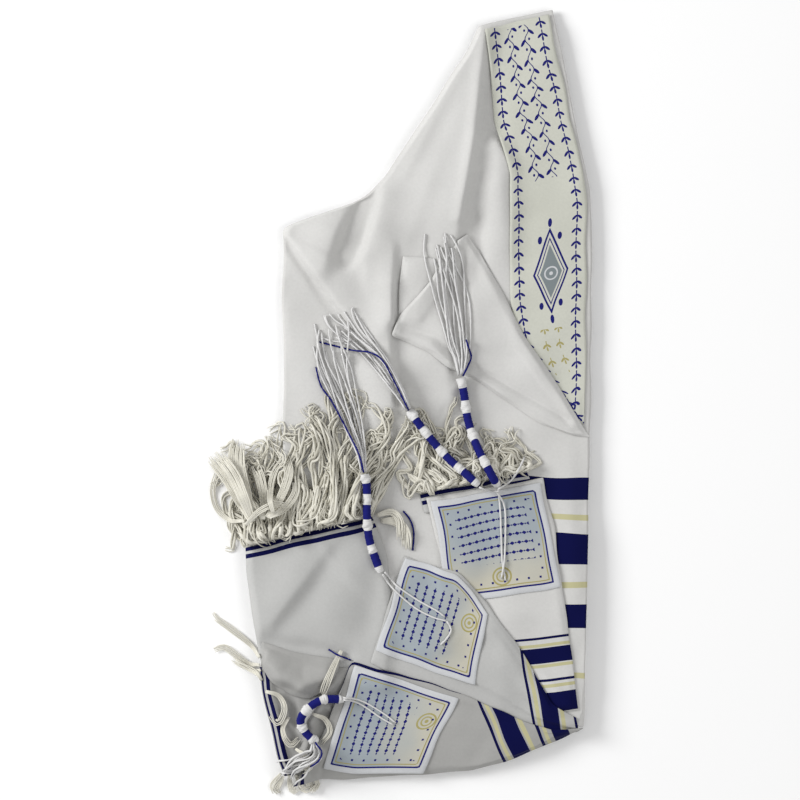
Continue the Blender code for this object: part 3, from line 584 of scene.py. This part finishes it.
def lay_sheet(heap, sheet, seed):
    """Lay one stretch of cloth on the heap as a thin closed shell, and return the surface under it."""
    kind = sheet.name.split("_")[0]
    turned_under = kind == "front"
    wall = PATCH_WALL if kind == "patch" else WALL
    plan = ruled(sheet.rows, STEP)
    straight_x, straight_y = plan[..., 0], plan[..., 1]
    x = straight_x + WARP * creases(straight_x, straight_y, 100 + seed)
    y = straight_y + WARP * creases(straight_x, straight_y, 200 + seed)
    left, right, start, end = sides_away(plan)
    edge = np.minimum(np.minimum(left, right), np.minimum(start, end))
    fade = np.clip(edge / RIM_FADE, 0, 1)
    fade = fade * fade * (3 - 2 * fade)
    under = spread(heap.top, 2)
    held_up = draped(heap.read(under, x, y), heap.read(heap.cover(STEP, EASE), x, y))
    lift = (relief(sheet.folds, x, y) + CREASE_HEIGHT * creases(x, y, seed)) * fade
    lift = np.maximum(lift + sheet.puff * MM * (1 if turned_under else fade), 0)
    top = np.stack([x, y, held_up + lift + GAP + wall], axis=-1)
    bottom = top - (0, 0, wall)
    if turned_under:
        bottom[..., 2] = np.where(edge > 0, bottom[..., 2], held_up + GAP)
    rim = rim_of(*x.shape)
    middle = (top[rim[:, 0], rim[:, 1]] + bottom[rim[:, 0], rim[:, 1]]) / 2
    middle[:, :2] += outward(middle[:, :2], sheet.rows) * RIM_BULGE
    points, faces = shell(top, bottom, [middle])
    values = {"from_left": left, "from_right": right, "from_start": start, "from_end": end}
    values["from_edge"] = edge
    if sheet.stripes:
        base_x, base_y, angle = sheet.stripes
        turned = np.radians(angle)
        values["along"] = ((straight_x - base_x * MM) * np.cos(turned)
                           + (straight_y - base_y * MM) * np.sin(turned))
    values = {key: repeat_rim(number / MM, rim) for key, number in values.items()}
    name = f"{sheet.name}_cloth"
    piece = add_piece(name, points, faces, [sheet.finish], sheet.name, values)
    heap.add(top)
    return under


def outward(loop, rows):
    """The direction out of a rim at each of its points, seen from above."""
    way = np.roll(loop, -1, axis=0) - np.roll(loop, 1, axis=0)
    return unit(np.stack([way[:, 1], -way[:, 0]], axis=-1)) * rim_way(rows)


def rim_way(rows):
    """1 where a grid's rim runs with the cloth on its left, and -1 where it runs the other way."""
    ends = np.array(rows, dtype=float)
    loop = np.concatenate([ends[:, :2], ends[::-1, 2:]])
    after = np.roll(loop, -1, axis=0)
    turn = (loop[:, 0] * after[:, 1] - after[:, 0] * loop[:, 1]).sum()
    return 1 if turn > 0 else -1


def repeat_rim(numbers, rim):
    """One number for each point of a shell, from a number for each point of its grid."""
    return np.concatenate([numbers.ravel(), numbers.ravel(), numbers[rim[:, 0], rim[:, 1]]])


def lay_core(heap, finish):
    """The hidden layers, whose folded edges show one over another all round."""
    plan = ruled(CORE, 2 * STEP)
    x, y = plan[..., 0], plan[..., 1]
    centres = np.array([(row[1] + row[3]) / 2 for row in CORE][::-1]) * MM
    tall = np.interp(y, centres, np.array(CORE_HEIGHTS[::-1]) * MM)
    rim = rim_of(*x.shape)
    side = plan[rim[:, 0], rim[:, 1]]
    height = tall[rim[:, 0], rim[:, 1]]
    out = outward(side, CORE)
    run = running(side)
    bands = []
    for layer in range(LAYERS - 1, -1, -1):
        sway = np.sin(run / LONG_SWAY + 2.3 * layer) * np.sin(run / SHORT_SWAY + layer)
        slip = LAYER_SLIP * (0.5 + 0.5 * sway)
        for level in range(LEVELS - 1, -1, -1):
            share = (level + 0.5) / LEVELS
            off = LAYER_BULGE * np.sin(np.pi * share) - slip
            z = height * (layer + share) / LAYERS
            bands.append(np.column_stack([side + out * off[:, None], z]))
    whole = np.stack([x, y, tall + CROWN], axis=-1)
    top = whole.copy()
    bottom = np.stack([x, y, np.zeros(x.shape)], axis=-1)
    for grid in (top, bottom):
        grid[rim[:, 0], rim[:, 1], :2] -= out * LAYER_SLIP / 2
    points, faces = shell(top, bottom, bands)
    add_piece("cloth_core_layers", points, faces, [finish], "cloth_core")
    heap.add(whole)


def curve_through(points, step):
    """Points every step along a soft curve through the given ones."""
    points = np.asarray(points, dtype=float)
    padded = np.vstack([2 * points[0] - points[1], points, 2 * points[-1] - points[-2]])
    fine = []
    for k in range(len(points) - 1):
        p0, p1, p2, p3 = padded[k:k + 4]
        for t in np.linspace(0, 1, 13)[:-1]:
            fine.append(0.5 * (2 * p1 + (p2 - p0) * t + (2 * p0 - 5 * p1 + 4 * p2 - p3) * t * t
                               + (3 * p1 - p0 - 3 * p2 + p3) * t ** 3))
    fine = np.array(fine + [points[-1]])
    run = running(fine)
    at = np.linspace(0, run[-1], max(4, int(round(run[-1] / step)) + 1))
    return np.stack([np.interp(at, run, fine[:, k]) for k in range(fine.shape[1])], axis=-1)


def settled(heap, plan, radius, rounds=3, rise=1.0):
    """Heights of a limp strand that lies on the heap."""
    base = heap.peak(plan[:, 0], plan[:, 1], radius) + GAP + radius * rise
    z = base.copy()
    for _ in range(rounds):
        z = np.maximum(softened(z, 1), base)
    return z


def tube(path, wide, thick, sides, lobes=0, depth=0.0, twist=0.0, roll=0.0):
    """Points and faces of a closed strand along a path, round or flat, with twisted plies."""
    count = len(path)
    way = unit(np.gradient(path, axis=0))
    flat = unit(np.stack([way[:, 1], -way[:, 0], np.zeros(count)], axis=-1))
    up = np.cross(flat, way)
    run = running(path)
    angle = 2 * np.pi * np.arange(sides) / sides
    ply = 1 + depth * np.cos(lobes * angle + 2 * np.pi * twist * run[:, None])
    a = np.broadcast_to(wide, count)[:, None] / 2 * np.cos(angle) * ply
    b = np.broadcast_to(thick, count)[:, None] / 2 * np.sin(angle) * ply
    turned = np.broadcast_to(roll, count)[:, None]
    across = a * np.cos(turned) - b * np.sin(turned)
    above = a * np.sin(turned) + b * np.cos(turned)
    rings = path[:, None] + across[..., None] * flat[:, None] + above[..., None] * up[:, None]
    points = np.concatenate([rings.reshape(-1, 3), path[:1], path[-1:]])
    points[:, 2] = np.maximum(points[:, 2], 0)
    at = np.arange(count * sides).reshape(count, sides)
    follow = np.roll(at, -1, axis=1)
    quads = np.stack([at[:-1], follow[:-1], follow[1:], at[1:]], axis=-1).reshape(-1, 4)
    first, last = count * sides, count * sides + 1
    caps = [(first, follow[0, k], at[0, k]) for k in range(sides)]
    caps += [(last, at[-1, k], follow[-1, k]) for k in range(sides)]
    return points, quads.tolist() + caps


class Bundle:
    """Strands gathered into one mesh, each with a material of the bundle's."""

    def __init__(self):
        self.points, self.faces, self.chosen, self.count = [], [], [], 0

    def add(self, shape, choice=0):
        points, faces = shape
        self.points.append(points)
        self.faces += [[int(k) + self.count for k in face] for face in faces]
        self.chosen += choice if isinstance(choice, list) else [choice] * len(faces)
        self.count += len(points)

    def make(self, name, materials):
        points = np.concatenate(self.points)
        add_piece(f"{name}_yarn", points, self.faces, materials, name, chosen=self.chosen)


def sideways(line):
    """The direction across a plan line at each of its points."""
    way = np.gradient(line, axis=0)
    return unit(np.stack([-way[:, 1], way[:, 0]], axis=-1))


def add_ribbons(heap, bundle, ribbons, seed):
    """Strips of loose fringe, each of fine strands side by side that spread as they run out."""
    random = np.random.default_rng(seed)
    for width, way in ribbons:
        plan = curve_through(np.array(way) * MM, YARN_STEP)
        share = np.linspace(0, 1, len(plan))
        half = width * MM / 2 * np.interp(share, [0, 0.3, 0.8, 1], [0.35, 0.8, 1, 0.9])
        lie = settled(heap, plan, width * MM / 3, rise=0.5)
        lie += random.uniform(0.3, 1.2) * MM * np.sin(np.pi * share)
        lean = random.uniform(0.05, 0.3) * np.sin(random.uniform(2, 5) * share + random.uniform(0, 6))
        for place in np.linspace(-1, 1, max(4, int(width / FINE_APART))):
            wave = 0.5 * MM * share * np.sin(random.uniform(4, 12) * share + random.uniform(0, 6))
            line = plan + sideways(plan) * (half * place * np.cos(lean) + wave)[:, None]
            z = lie + half * (place * np.sin(lean) + np.abs(np.sin(lean))) + random.uniform(0, 0.4) * MM
            kept = len(plan) - random.integers(0, max(2, len(plan) // 6))
            wide = 2 * FINE_RADIUS * np.interp(share, [0, 0.8, 1], [1, 1, 0.5])[:kept]
            bundle.add(tube(np.column_stack([line, z])[:kept], wide, wide, sides=6))
        heap.add_line(np.column_stack([plan, lie]), width * MM / 2, FINE_RADIUS)


def lay_ribbons(heap, name, ribbons, finish, seed):
    """A few loose strips of fringe that stand by themselves."""
    bundle = Bundle()
    add_ribbons(heap, bundle, ribbons, seed)
    bundle.make(name, [finish])


def add_lock(heap, bundle, random, root, middle, tip, out, way):
    """One lock of flat soft strips, tied near its root; some locks loop back towards the root."""
    middle = middle + random.normal(0, 0.8, 2) * SCATTER
    tip = tip + (middle - tip) * random.uniform(-0.15, 0.6) + random.normal(0, 1, 2) * SCATTER
    if random.uniform() < LOOPED:
        middle = root + (middle - root) * random.uniform(0.5, 0.9)
        tip = root + out * random.uniform(4, 16) * MM + way * random.normal(0, 9) * MM
    lead = root + out * random.uniform(3, 12) * MM + way * random.normal(0, 6) * MM
    halfway = (middle + tip) / 2 + random.normal(0, 1, 2) * CURL
    onward = (tip - halfway) * min(1, LONGEST_HOOK / max(np.linalg.norm(tip - halfway), 1e-9))
    hook = tip + turned_by(onward, random.normal(0, HOOK_TURN))
    end = hook + turned_by((hook - tip) * 0.9, random.normal(0, HOOK_TURN))
    between = (lead + middle) / 2 + random.normal(0, 1, 2) * CURL
    line = curve_through([root, lead, between, middle, halfway, tip, hook, end], PLY_STEP)
    run = running(line)
    share = run / run[-1]
    spine = np.column_stack([line, settled(heap, line, LOCK_RADIUS, rise=0.7)])
    side = sideways(line)
    first = random.uniform(0, 2 * np.pi)
    pitch = random.uniform(*PLY_PITCHES)
    apart = LOCK_RADIUS * np.interp(share, [0, 0.1, 0.6, 1], [0.5, 0.9, 1.2, 2.2])
    apart *= random.uniform(0.7, 1.2)
    for ply in range(PLIES):
        angle = first + 2 * np.pi * (ply / PLIES + run / pitch)
        stray = 0.8 * MM * share * np.sin(run / (9 * MM) + 2.4 * ply + first)
        path = spine.copy()
        path[:, :2] += side * (apart * np.cos(angle) + stray)[:, None]
        path[:, 2] += 0.5 * apart * np.sin(angle)
        wide = STRIP_WIDE * random.uniform(0.7, 1.2)
        wide = wide * np.interp(share, [0, 0.2, 0.85, 1], [0.7, 1, 0.9, 0.3])
        roll = random.uniform(0.2, 1.0) * np.sin(run / (12 * MM) + first + ply)
        strip = tube(path, wide, STRIP_THICK, sides=6, lobes=3, depth=0.12, roll=roll)
        # The first ply takes the darker cream: painted shade
        bundle.add(strip, 1 if ply == 0 else 0)
    first_tied = random.integers(1, 6)
    tied = spine[first_tied:first_tied + 5]
    swell = 2 * KNOT_RADIUS * np.array([0.4, 0.9, 1.0, 0.9, 0.4])
    bundle.add(tube(tied, swell, swell, sides=10, lobes=2, depth=0.15, twist=1 / (6 * MM)))
    heap.add_line(spine, LOCK_RADIUS, LOCK_RADIUS * LOCK_SINK)


def turned_by(step, angle):
    """A plan step turned to the left by an angle."""
    c, s = np.cos(angle), np.sin(angle)
    return np.array([step[0] * c - step[1] * s, step[0] * s + step[1] * c])


def lay_fringe(heap, name, cover, edge, locks, guides, seed, yarns, ribbons=()):
    """A knotted heading just off a cloth's end, with a dense row of curled locks."""
    random = np.random.default_rng(seed)
    start, stop = np.array(edge).reshape(2, 2) * MM
    way = (stop - start) / np.linalg.norm(stop - start)
    out = np.array([-way[1], way[0]])
    length = np.linalg.norm(stop - start)
    bundle = Bundle()
    places = np.linspace(0, length, int(length / HEADING_STEP))
    plan = start + way * places[:, None] + out * (HEADING_RADIUS + GAP)
    z = heap.read(cover, plan[:, 0], plan[:, 1]) + GAP + HEADING_RADIUS
    heading = np.column_stack([plan, z])
    wide = 2 * HEADING_RADIUS
    bundle.add(tube(heading, wide, wide, sides=8, lobes=2, depth=0.2, twist=1 / (7 * MM)))
    heap.add_line(heading, HEADING_RADIUS, HEADING_RADIUS)
    shares, *guided = np.array(guides).T
    for k in random.permutation(locks):
        share = (k + random.uniform(0.2, 0.8)) / locks
        root = start + way * length * share + out * HEADING_RADIUS
        spots = np.array([np.interp(share, shares, column) for column in guided]) * MM
        add_lock(heap, bundle, random, root, spots[:2], spots[2:], out, way)
    add_ribbons(heap, bundle, ribbons, seed)
    bundle.make(name, yarns)


def wind_head(heap, bundle, way):
    """Lay a wound head with its knots, and return the height of its far end."""
    route = curve_through(np.array(way) * MM, HEAD_STEP)
    run = running(route)
    share = run / run[-1]
    shares, beads = zip(*HEAD_BEADS)
    swell = np.interp(share, shares, beads)
    knots = np.unique(np.append(np.arange(0, len(route), 12), len(route) - 1))
    z = settled(heap, route[knots], HEAD_RADIUS, rounds=10)
    path = np.column_stack([route, softened(np.interp(run, run[knots], z), 40)])
    wound = 2 * HEAD_RADIUS * swell * (1 + WINDING_DEPTH * np.cos(2 * np.pi * run / WINDING_PITCH))
    points, faces = tube(path, wound, wound, HEAD_SIDES, lobes=2, depth=0.03, twist=1 / (5 * MM))
    angle = 2 * np.pi * np.arange(HEAD_SIDES) / HEAD_SIDES
    is_knot = swell > KNOT_SWELL
    lump = KNOT_LUMPS * np.cos(2 * angle + 2 * np.pi * run[:, None] / KNOT_TURN) * is_knot[:, None]
    rings = points[:-2].reshape(len(path), HEAD_SIDES, 3)
    rings = path[:, None] + (rings - path[:, None]) * (1 + lump[..., None])
    points[:-2] = rings.reshape(-1, 3)
    blue = np.array([any(low < s < high for low, high in BLUE_WOUND) for s in share], dtype=int)
    caps = [0] * (2 * HEAD_SIDES)
    bundle.add((points, faces), np.repeat(blue[:-1], HEAD_SIDES).tolist() + caps)
    heap.add_line(path, HEAD_RADIUS, HEAD_RADIUS * 0.9)
    return path[-1, 2]


def add_strand(heap, bundle, line, z, wide, depth, pitch, choice, rise):
    """Add one twisted strand, along a plan line and at these heights."""
    path = np.column_stack([line, z])
    bundle.add(tube(path, wide, wide, 8, 2, depth, 1 / pitch), choice)
    heap.add_line(path, STRAND_RADIUS, rise)


def lay_tassel(heap, name, plan, yarns, seed):
    """A wound and knotted head, with its free strands and the cords that tie it to the cloth's corner."""
    random = np.random.default_rng(seed)
    bundle = Bundle()
    end = wind_head(heap, bundle, plan["head"])
    centre = curve_through(np.array(plan["bundle"]) * MM, YARN_STEP)
    side = sideways(centre[:, :2])
    share = np.linspace(0, 1, len(centre))
    lines = []
    for place in random.permutation(np.linspace(-1, 1, STRANDS)):
        kept = len(centre) - random.integers(0, max(2, len(centre) // 5))
        drift = place + 0.6 * share * np.sin(random.uniform(2, 5) * share + random.uniform(0, 6))
        wave = random.uniform(0.8, 2.4) * MM * share
        wave = wave * np.sin(random.uniform(8, 16) * share + random.uniform(0, 6))
        line = centre[:, :2] + side * (centre[:, 2] * drift + wave)[:, None]
        lines.append((line[:kept], 0))
    lines += [(curve_through(np.array(way) * MM, YARN_STEP), 1) for way in plan["blue"]]
    for line, choice in lines:
        z = settled(heap, line, STRAND_RADIUS, rounds=6)
        if choice == 0:
            z[:6] = np.maximum(z[:6], np.linspace(end, 0, 6))
            z[0] = end
        add_strand(heap, bundle, line, z, 2 * STRAND_RADIUS, 0.2, 5 * MM, choice, STRAND_RADIUS * 0.6)
    for way in plan["loops"]:
        line = curve_through(np.array(way) * MM, YARN_STEP)
        z = settled(heap, line, STRAND_RADIUS, rounds=4)
        add_strand(heap, bundle, line, z, 2.2 * STRAND_RADIUS, 0.17, 6 * MM, 0, STRAND_RADIUS)
    bundle.make(name, yarns)


def operation(kind):
    """A method that works out one kind of arithmetic in a shader node."""
    def made(self, *others):
        node = self.tree.nodes.new("ShaderNodeMath")
        node.operation = kind
        for k, value in enumerate((self, *others)):
            if isinstance(value, Field):
                self.tree.links.new(value.socket, node.inputs[k])
            else:
                node.inputs[k].default_value = value
        return Field(self.tree, node.outputs[0])
    return made


class Field:
    """A number at each point of a surface. Of two masks, | is either and & is both."""

    def __init__(self, tree, socket):
        self.tree, self.socket = tree, socket

    __add__ = operation("ADD")
    __sub__ = operation("SUBTRACT")
    __mul__ = operation("MULTIPLY")
    __mod__ = operation("FLOORED_MODULO")
    __abs__ = operation("ABSOLUTE")
    __or__ = operation("MAXIMUM")
    __and__ = operation("MULTIPLY")
    smaller = operation("MINIMUM")
    below = operation("LESS_THAN")
    above = operation("GREATER_THAN")
    sine = operation("SINE")
    root = operation("SQRT")

    def between(self, low, high):
        return self.above(low) & self.below(high)

    def far(self, other):
        """The distance from nought of a point with these two coordinates."""
        return (self * self + other * other).root()


def read(tree, name):
    """A number that the pieces carry at each point."""
    node = tree.nodes.new("ShaderNodeAttribute")
    node.attribute_name = name
    return Field(tree, node.outputs["Fac"])


def noise(tree, scale, detail=2.0):
    """A soft random field, finer for a larger scale."""
    place = tree.nodes.new("ShaderNodeTexCoord")
    node = tree.nodes.new("ShaderNodeTexNoise")
    node.inputs["Scale"].default_value = scale
    node.inputs["Detail"].default_value = detail
    tree.links.new(place.outputs["Object"], node.inputs["Vector"])
    return Field(tree, node.outputs["Fac"])


def mixed(tree, mask, one, other):
    """One colour where the mask is nought and the other where it is 1."""
    node = tree.nodes.new("ShaderNodeMix")
    node.data_type = "RGBA"
    tree.links.new(mask.socket, node.inputs["Factor"])
    for key, value in (("A", one), ("B", other)):
        socket = next(s for s in node.inputs if s.name == key and s.type == "RGBA")
        if isinstance(value, tuple):
            socket.default_value = (*value, 1.0)
        else:
            tree.links.new(value, socket)
    return next(s for s in node.outputs if s.type == "RGBA")


def shaded(colour, share):
    return tuple(part * share for part in colour)


def fabric(name, ground, pattern=None, roughness=0.9, uneven=0.13, bump=0.25, fine=900):
    """A woven or yarn finish, with an optional pattern of (mask, colour) pairs laid over its ground."""
    made = bpy.data.materials.new(name)
    made.use_nodes = True
    tree = made.node_tree
    shader = tree.nodes["Principled BSDF"]
    shader.inputs["Roughness"].default_value = roughness
    shader.inputs["Specular IOR Level"].default_value = SHINE
    shader.inputs["Sheen Weight"].default_value = SHEEN
    shader.inputs["Sheen Roughness"].default_value = SHEEN_ROUGHNESS
    tone = noise(tree, 14, 4.0) * 0.6 + noise(tree, 420, 1.0) * 0.4
    colour = mixed(tree, tone, shaded(ground, 1 - uneven), shaded(ground, 1 + uneven))
    across, along = read(tree, "from_left"), read(tree, "from_start")
    weave = (across * THREADS_A_MM).sine() * (along * THREADS_A_MM).sine()
    height = noise(tree, fine, 2.0) + weave * 0.3
    for mask, ink in pattern(tree) if pattern else ():
        colour = mixed(tree, mask, colour, ink)
        height = height + mask * 0.6
    tree.links.new(colour, shader.inputs["Base Color"])
    raised = tree.nodes.new("ShaderNodeBump")
    raised.inputs["Strength"].default_value = bump
    raised.inputs["Distance"].default_value = BUMP_DEPTH
    tree.links.new(height.socket, raised.inputs["Height"])
    tree.links.new(raised.outputs["Normal"], shader.inputs["Normal"])
    return made


def bands(far, stretches):
    """A mask of the stretches between these distances."""
    found = far.between(*stretches[0])
    for stretch in stretches[1:]:
        found = found | far.between(*stretch)
    return found


def stripes(tree, key):
    """The masks of a stretch's blue and gold woven stripes."""
    far = read(tree, "along")
    return [bands(far, stretches) for stretches in STRIPES[key]]


def front_pattern(tree):
    navy, gold = stripes(tree, "front")
    strip = read(tree, "from_right").below(STRIPED_WIDTH)
    return [(navy & strip, NAVY), (gold & strip, GOLD)]


def panel_a_pattern(tree):
    return list(zip(stripes(tree, "panel_a"), (NAVY, GOLD)))


def panel_b_pattern(tree):
    return list(zip(stripes(tree, "panel_b"), (NAVY, GOLD)))


def panel_c_pattern(tree):
    """Stripes, the lines of the woven end, and a navy sliver at the upper edge: partly the blue cloth below,
    partly painted shade of the gap between the panels.
    """
    navy, gold = stripes(tree, "panel_c")
    start = read(tree, "from_start")
    end = bands(start, [(0.8, 4.0), (6.6, 10.4)])
    # A navy band painted along the upper edge: the blue cloth below, darkened as painted shade of the gap
    gap_navy_and_shade = (read(tree, "from_right") + abs(start - 130) * 0.03).below(2.6)
    return [(gap_navy_and_shade, NAVY), (navy | end, NAVY), (gold, GOLD)]


def end_pattern(tree):
    return [(bands(read(tree, "from_start"), [(0.4, 4.2), (7.0, 11.2)]), NAVY)]


def corner_pattern(tree):
    return [(bands(read(tree, "from_left"), [(0.6, 2.8), (5.4, 9.4)]), NAVY)]


def leaf(along, across, place, degrees, length, width):
    """An oval leaf about a place, turned from along by so many degrees."""
    c, s = np.cos(np.radians(degrees)), np.sin(np.radians(degrees))
    a, b = along - place[0], across - place[1]
    return ((a * c + b * s) * (1 / length)).far((b * c - a * s) * (1 / width)).below(1)


def sprig(along, across, size):
    """Two leaves and a bud on a short stem, pointing along."""
    a, b = along * (1 / size), abs(across) * (1 / size)
    pair = leaf(a, b, (0.02, 0.46), 48, 0.52, 0.21)
    bud = leaf(a, b, (0.55, 0), 0, 0.42, 0.18)
    stem = b.below(0.1) & a.between(-1.0, 0.2)
    return pair | bud | stem


def neck_pattern(tree):
    """Sprigs along both edges, two rows of a leafy vine, a medallion and gold sprigs."""
    down, left, right = read(tree, "from_start"), read(tree, "from_left"), read(tree, "from_right")
    from_middle = (left - right) * 0.5
    inset = from_middle - 2
    pitch = 12.4
    cell = down % pitch - pitch / 2
    borders = sprig(cell, left - 8.2, 5.6) | sprig(cell, right - 9.2, 5.6)
    vines = vine(down, from_middle + 8.5) | vine(down + 11, from_middle - 7.5)
    vines = vines & down.between(5, 150)
    centre = down - 238
    far_along = abs(centre)
    lozenge = far_along * (1 / 38) + abs(inset) * (1 / 16)
    outline = abs(lozenge - 1).below(0.06) | abs(lozenge - 0.8).below(0.03)
    buds = leaf(far_along, abs(inset), (31, 9), 0, 3.4, 2) | leaf(far_along, inset, (45, 0), 0, 4.2, 1.8)
    silver = lozenge.below(0.66)
    ring = abs(centre.far(inset) - 6).below(0.7) | centre.far(inset).below(1.8)
    gold = sprig(down % 15 - 7.5, abs(from_middle) - 6.5, 4.6) & down.between(292, 335)
    blue = borders | vines | outline | buds
    return [(silver, SILVER), (ring, HEM_WHITE), (blue, ROYAL), (gold, DEEP_GOLD)]


def vine(along, across):
    """A wavy stem with a leaf at each bend and small buds."""
    pitch, half = 17.45, 8.72
    found = abs(across - (along * 0.36).sine() * 2.2).below(0.5)
    for cell, side in ((along % pitch - half, 1), ((along + half) % pitch - half, -1)):
        found = found | leaf(cell, across, (-1.9, 4.4 * side), 42 * side, 3.6, 1.4)
        found = found | leaf(cell, across, (4.4, 1.8 * side), 0, 1.3, 1)
    return found


def patch_pattern(tree):
    """A framed patch with a border of dots, rows of small lozenges and a gold rosette."""
    left, right = read(tree, "from_left"), read(tree, "from_right")
    start, end = read(tree, "from_start"), read(tree, "from_end")
    edge = read(tree, "from_edge")
    inside = edge.above(5.2)
    line = edge.between(5.2, 6.8)
    gold_line = edge.between(8.4, 9.4)
    ring = edge.between(12, 14)
    beside = (left.between(12, 14) | right.between(12, 14)) & (start % 11).below(2)
    above = (start.between(12, 14) | end.between(12, 14)) & (left % 11).below(2)
    dots = ring & (beside | above)
    cell = left % 6.4 - 3.2
    rank = start % 8 - 4
    lozenge = (abs(cell) * 0.7 + abs(rank)).below(1.7)
    dot = (abs(cell) - 3.2).far(rank).below(0.75)
    rows = (lozenge | dot) & edge.above(18) & end.above(31)
    far = (left - 54).far(end - 18)
    rosette = abs(far - 8).below(0.8) | abs(far - 4.6).below(0.7) | far.below(1.8)
    cream = (noise(tree, 22) * 1.6 - end * 0.024 + 0.5).smaller(1.0) | 0.0
    ground = cream & inside
    return [(inside, PATCH_BLUE), (ground, PATCH_CREAM), (line, ROYAL), (gold_line | rosette, DEEP_GOLD),
            (dots | rows, ROYAL)]


def make_stage():
    """A pale floor, a wide soft light from the upper left and a soft sky."""
    half = 15.0
    corners = [(-half, -half, 0), (half, -half, 0), (half, half, 0), (-half, half, 0)]
    mesh = bpy.data.meshes.new("floor")
    mesh.from_pydata(corners, [], [(0, 1, 2, 3)])
    floor = bpy.data.objects.new("floor", mesh)
    plain = bpy.data.materials.new("floor")
    plain.use_nodes = True
    shader = plain.node_tree.nodes["Principled BSDF"]
    shader.inputs["Base Color"].default_value = (*FLOOR, 1)
    shader.inputs["Roughness"].default_value = 0.9
    shader.inputs["Specular IOR Level"].default_value = 0.1
    mesh.materials.append(plain)
    bpy.context.scene.collection.objects.link(floor)
    add_light("key", place=(-2.4, 0.8, 1.5), size=1.2, power=76)
    add_light("fill", place=(2.4, -0.6, 3.0), size=2.5, power=32)
    world = bpy.data.worlds.new("sky")
    world.use_nodes = True
    sky = world.node_tree.nodes["Background"]
    sky.inputs["Color"].default_value = (1, 1, 1, 1)
    sky.inputs["Strength"].default_value = 0.5
    bpy.context.scene.world = world
    bpy.context.scene.view_settings.view_transform = "Standard"


def add_light(name, place, size, power):
    """A square light that faces the part's origin."""
    lamp = bpy.data.lights.new(name, "AREA")
    lamp.size = size
    lamp.energy = power
    made = bpy.data.objects.new(name, lamp)
    made.location = place
    made.rotation_euler = (-Vector(place)).to_track_quat("-Z", "Y").to_euler()
    bpy.context.scene.collection.objects.link(made)


def make_camera():
    """Straight down, with the photograph's 752 mm across the frame."""
    far, across, sensor = 3.0, 752 * MM, 36.0
    middle_y, middle_z = 1.4 * MM, 15 * MM
    lens = bpy.data.cameras.new("camera")
    lens.sensor_width = sensor
    lens.lens = sensor * far / across
    camera = bpy.data.objects.new("camera", lens)
    camera.location = (0, middle_y, far + middle_z)
    bpy.context.scene.collection.objects.link(camera)
    bpy.context.scene.camera = camera


def sheets():
    """Every stretch of cloth, in the order that they are laid."""
    plain = fabric("plain_cloth", OFF_WHITE)
    front = fabric("front_striped", OFF_WHITE, front_pattern)
    panel_a = fabric("panel_a_striped", OFF_WHITE, panel_a_pattern)
    # Panel B, the end cloth, panel C, the corner and the plain end cloth take darker copies of the
    # off-white: painted shade
    panel_b = fabric("panel_b_striped", SHADED_END_WHITE, panel_b_pattern)
    panel_c = fabric("panel_c_striped", SHADED_LOW_WHITE, panel_c_pattern)
    end = fabric("end_striped", SHADED_END_WHITE, end_pattern)
    corner = fabric("corner_striped", SHADED_LOW_WHITE, corner_pattern)
    neck = fabric("neckband_cloth", NECK_GROUND, neck_pattern, roughness=0.7)
    patch = fabric("patch_cloth", HEM_WHITE, patch_pattern, roughness=0.6)
    end_plain = fabric("end_plain_cloth", SHADED_LOW_WHITE)
    return plain, [
        Sheet("front_panel", FRONT, FRONT_FOLDS, front, 1.8, ["cloth_core"], (165, -71.5, -92)),
        Sheet("neckband", NECKBAND, [], neck, 0.2, ["front_panel"]),
        Sheet("tucked_flap", TUCKED, [], plain, 0.6, ["front_panel"]),
        Sheet("fold_over", FOLD_OVER, FOLD_OVER_FOLDS, plain, 1.6, ["front_panel", "neckband"]),
        Sheet("end_d", END_D, [], end, 0.5, ["front_panel"]),
        Sheet("panel_a", PANEL_A, PANEL_A_FOLDS, panel_a, 1.2, ["end_d", "front_panel"],
              (129.7, -222.5, -84.6)),
        Sheet("patch_a", PATCH_A, [], patch, 0.0, ["panel_a"]),
        Sheet("panel_l", PANEL_L, PANEL_L_FOLDS, end, 2.4, ["front_panel", "cloth_core"]),
        Sheet("corner_panel", CORNER, CORNER_FOLDS, corner, 1.2, ["cloth_core"]),
        Sheet("rolled_flap", ROLLED, ROLLED_FOLDS, end_plain, 1.0, ["panel_l", "corner_panel"]),
        Sheet("panel_b", PANEL_B, PANEL_B_FOLDS, panel_b, 1.2, ["panel_a", "panel_l"], (118, -262, 10.5)),
        Sheet("patch_b", PATCH_B, [], patch, 0.0, ["panel_b"]),
        Sheet("panel_c", PANEL_C, PANEL_C_FOLDS, panel_c, 1.2, ["panel_b", "corner_panel"],
              (90, -318.5, 23.5)),
        Sheet("patch_c", PATCH_C, [], patch, 0.0, ["panel_c"]),
    ]


def main():
    heap = Heap()
    plain, laid = sheets()
    yarn = fabric("fringe_yarn", CREAM, uneven=0.1, bump=0.5, fine=500)
    shade = fabric("fringe_yarn_shade", SHADE_CREAM, uneven=0.12, bump=0.5, fine=500)
    white = fabric("tassel_white", TASSEL_WHITE, bump=0.4, fine=600)
    blue = fabric("tassel_blue", ROYAL, bump=0.4, fine=600)
    lay_core(heap, plain)
    under = {}
    for seed, sheet in enumerate(laid, FIRST_SEED):
        if sheet.name == "panel_c":
            lay_ribbons(heap, "fringe_tip", TIP_RIBBONS, yarn, 5)
        under[sheet.name] = lay_sheet(heap, sheet, seed)
    lay_fringe(heap, "fringe_right", under["end_d"], END_D[0], RIGHT_LOCKS, RIGHT_GUIDES, 7, [yarn, shade])
    lay_fringe(heap, "fringe_left", under["panel_l"], PANEL_L[0], LEFT_LOCKS, LEFT_GUIDES, 11, [yarn, shade],
               LEFT_RIBBONS)
    lay_ribbons(heap, "fringe_corner", CORNER_RIBBONS, yarn, 3)
    for number, (name, plan) in enumerate(TASSELS.items()):
        lay_tassel(heap, name, plan, [white, blue], 20 + number)
    make_stage()
    make_camera()


main()
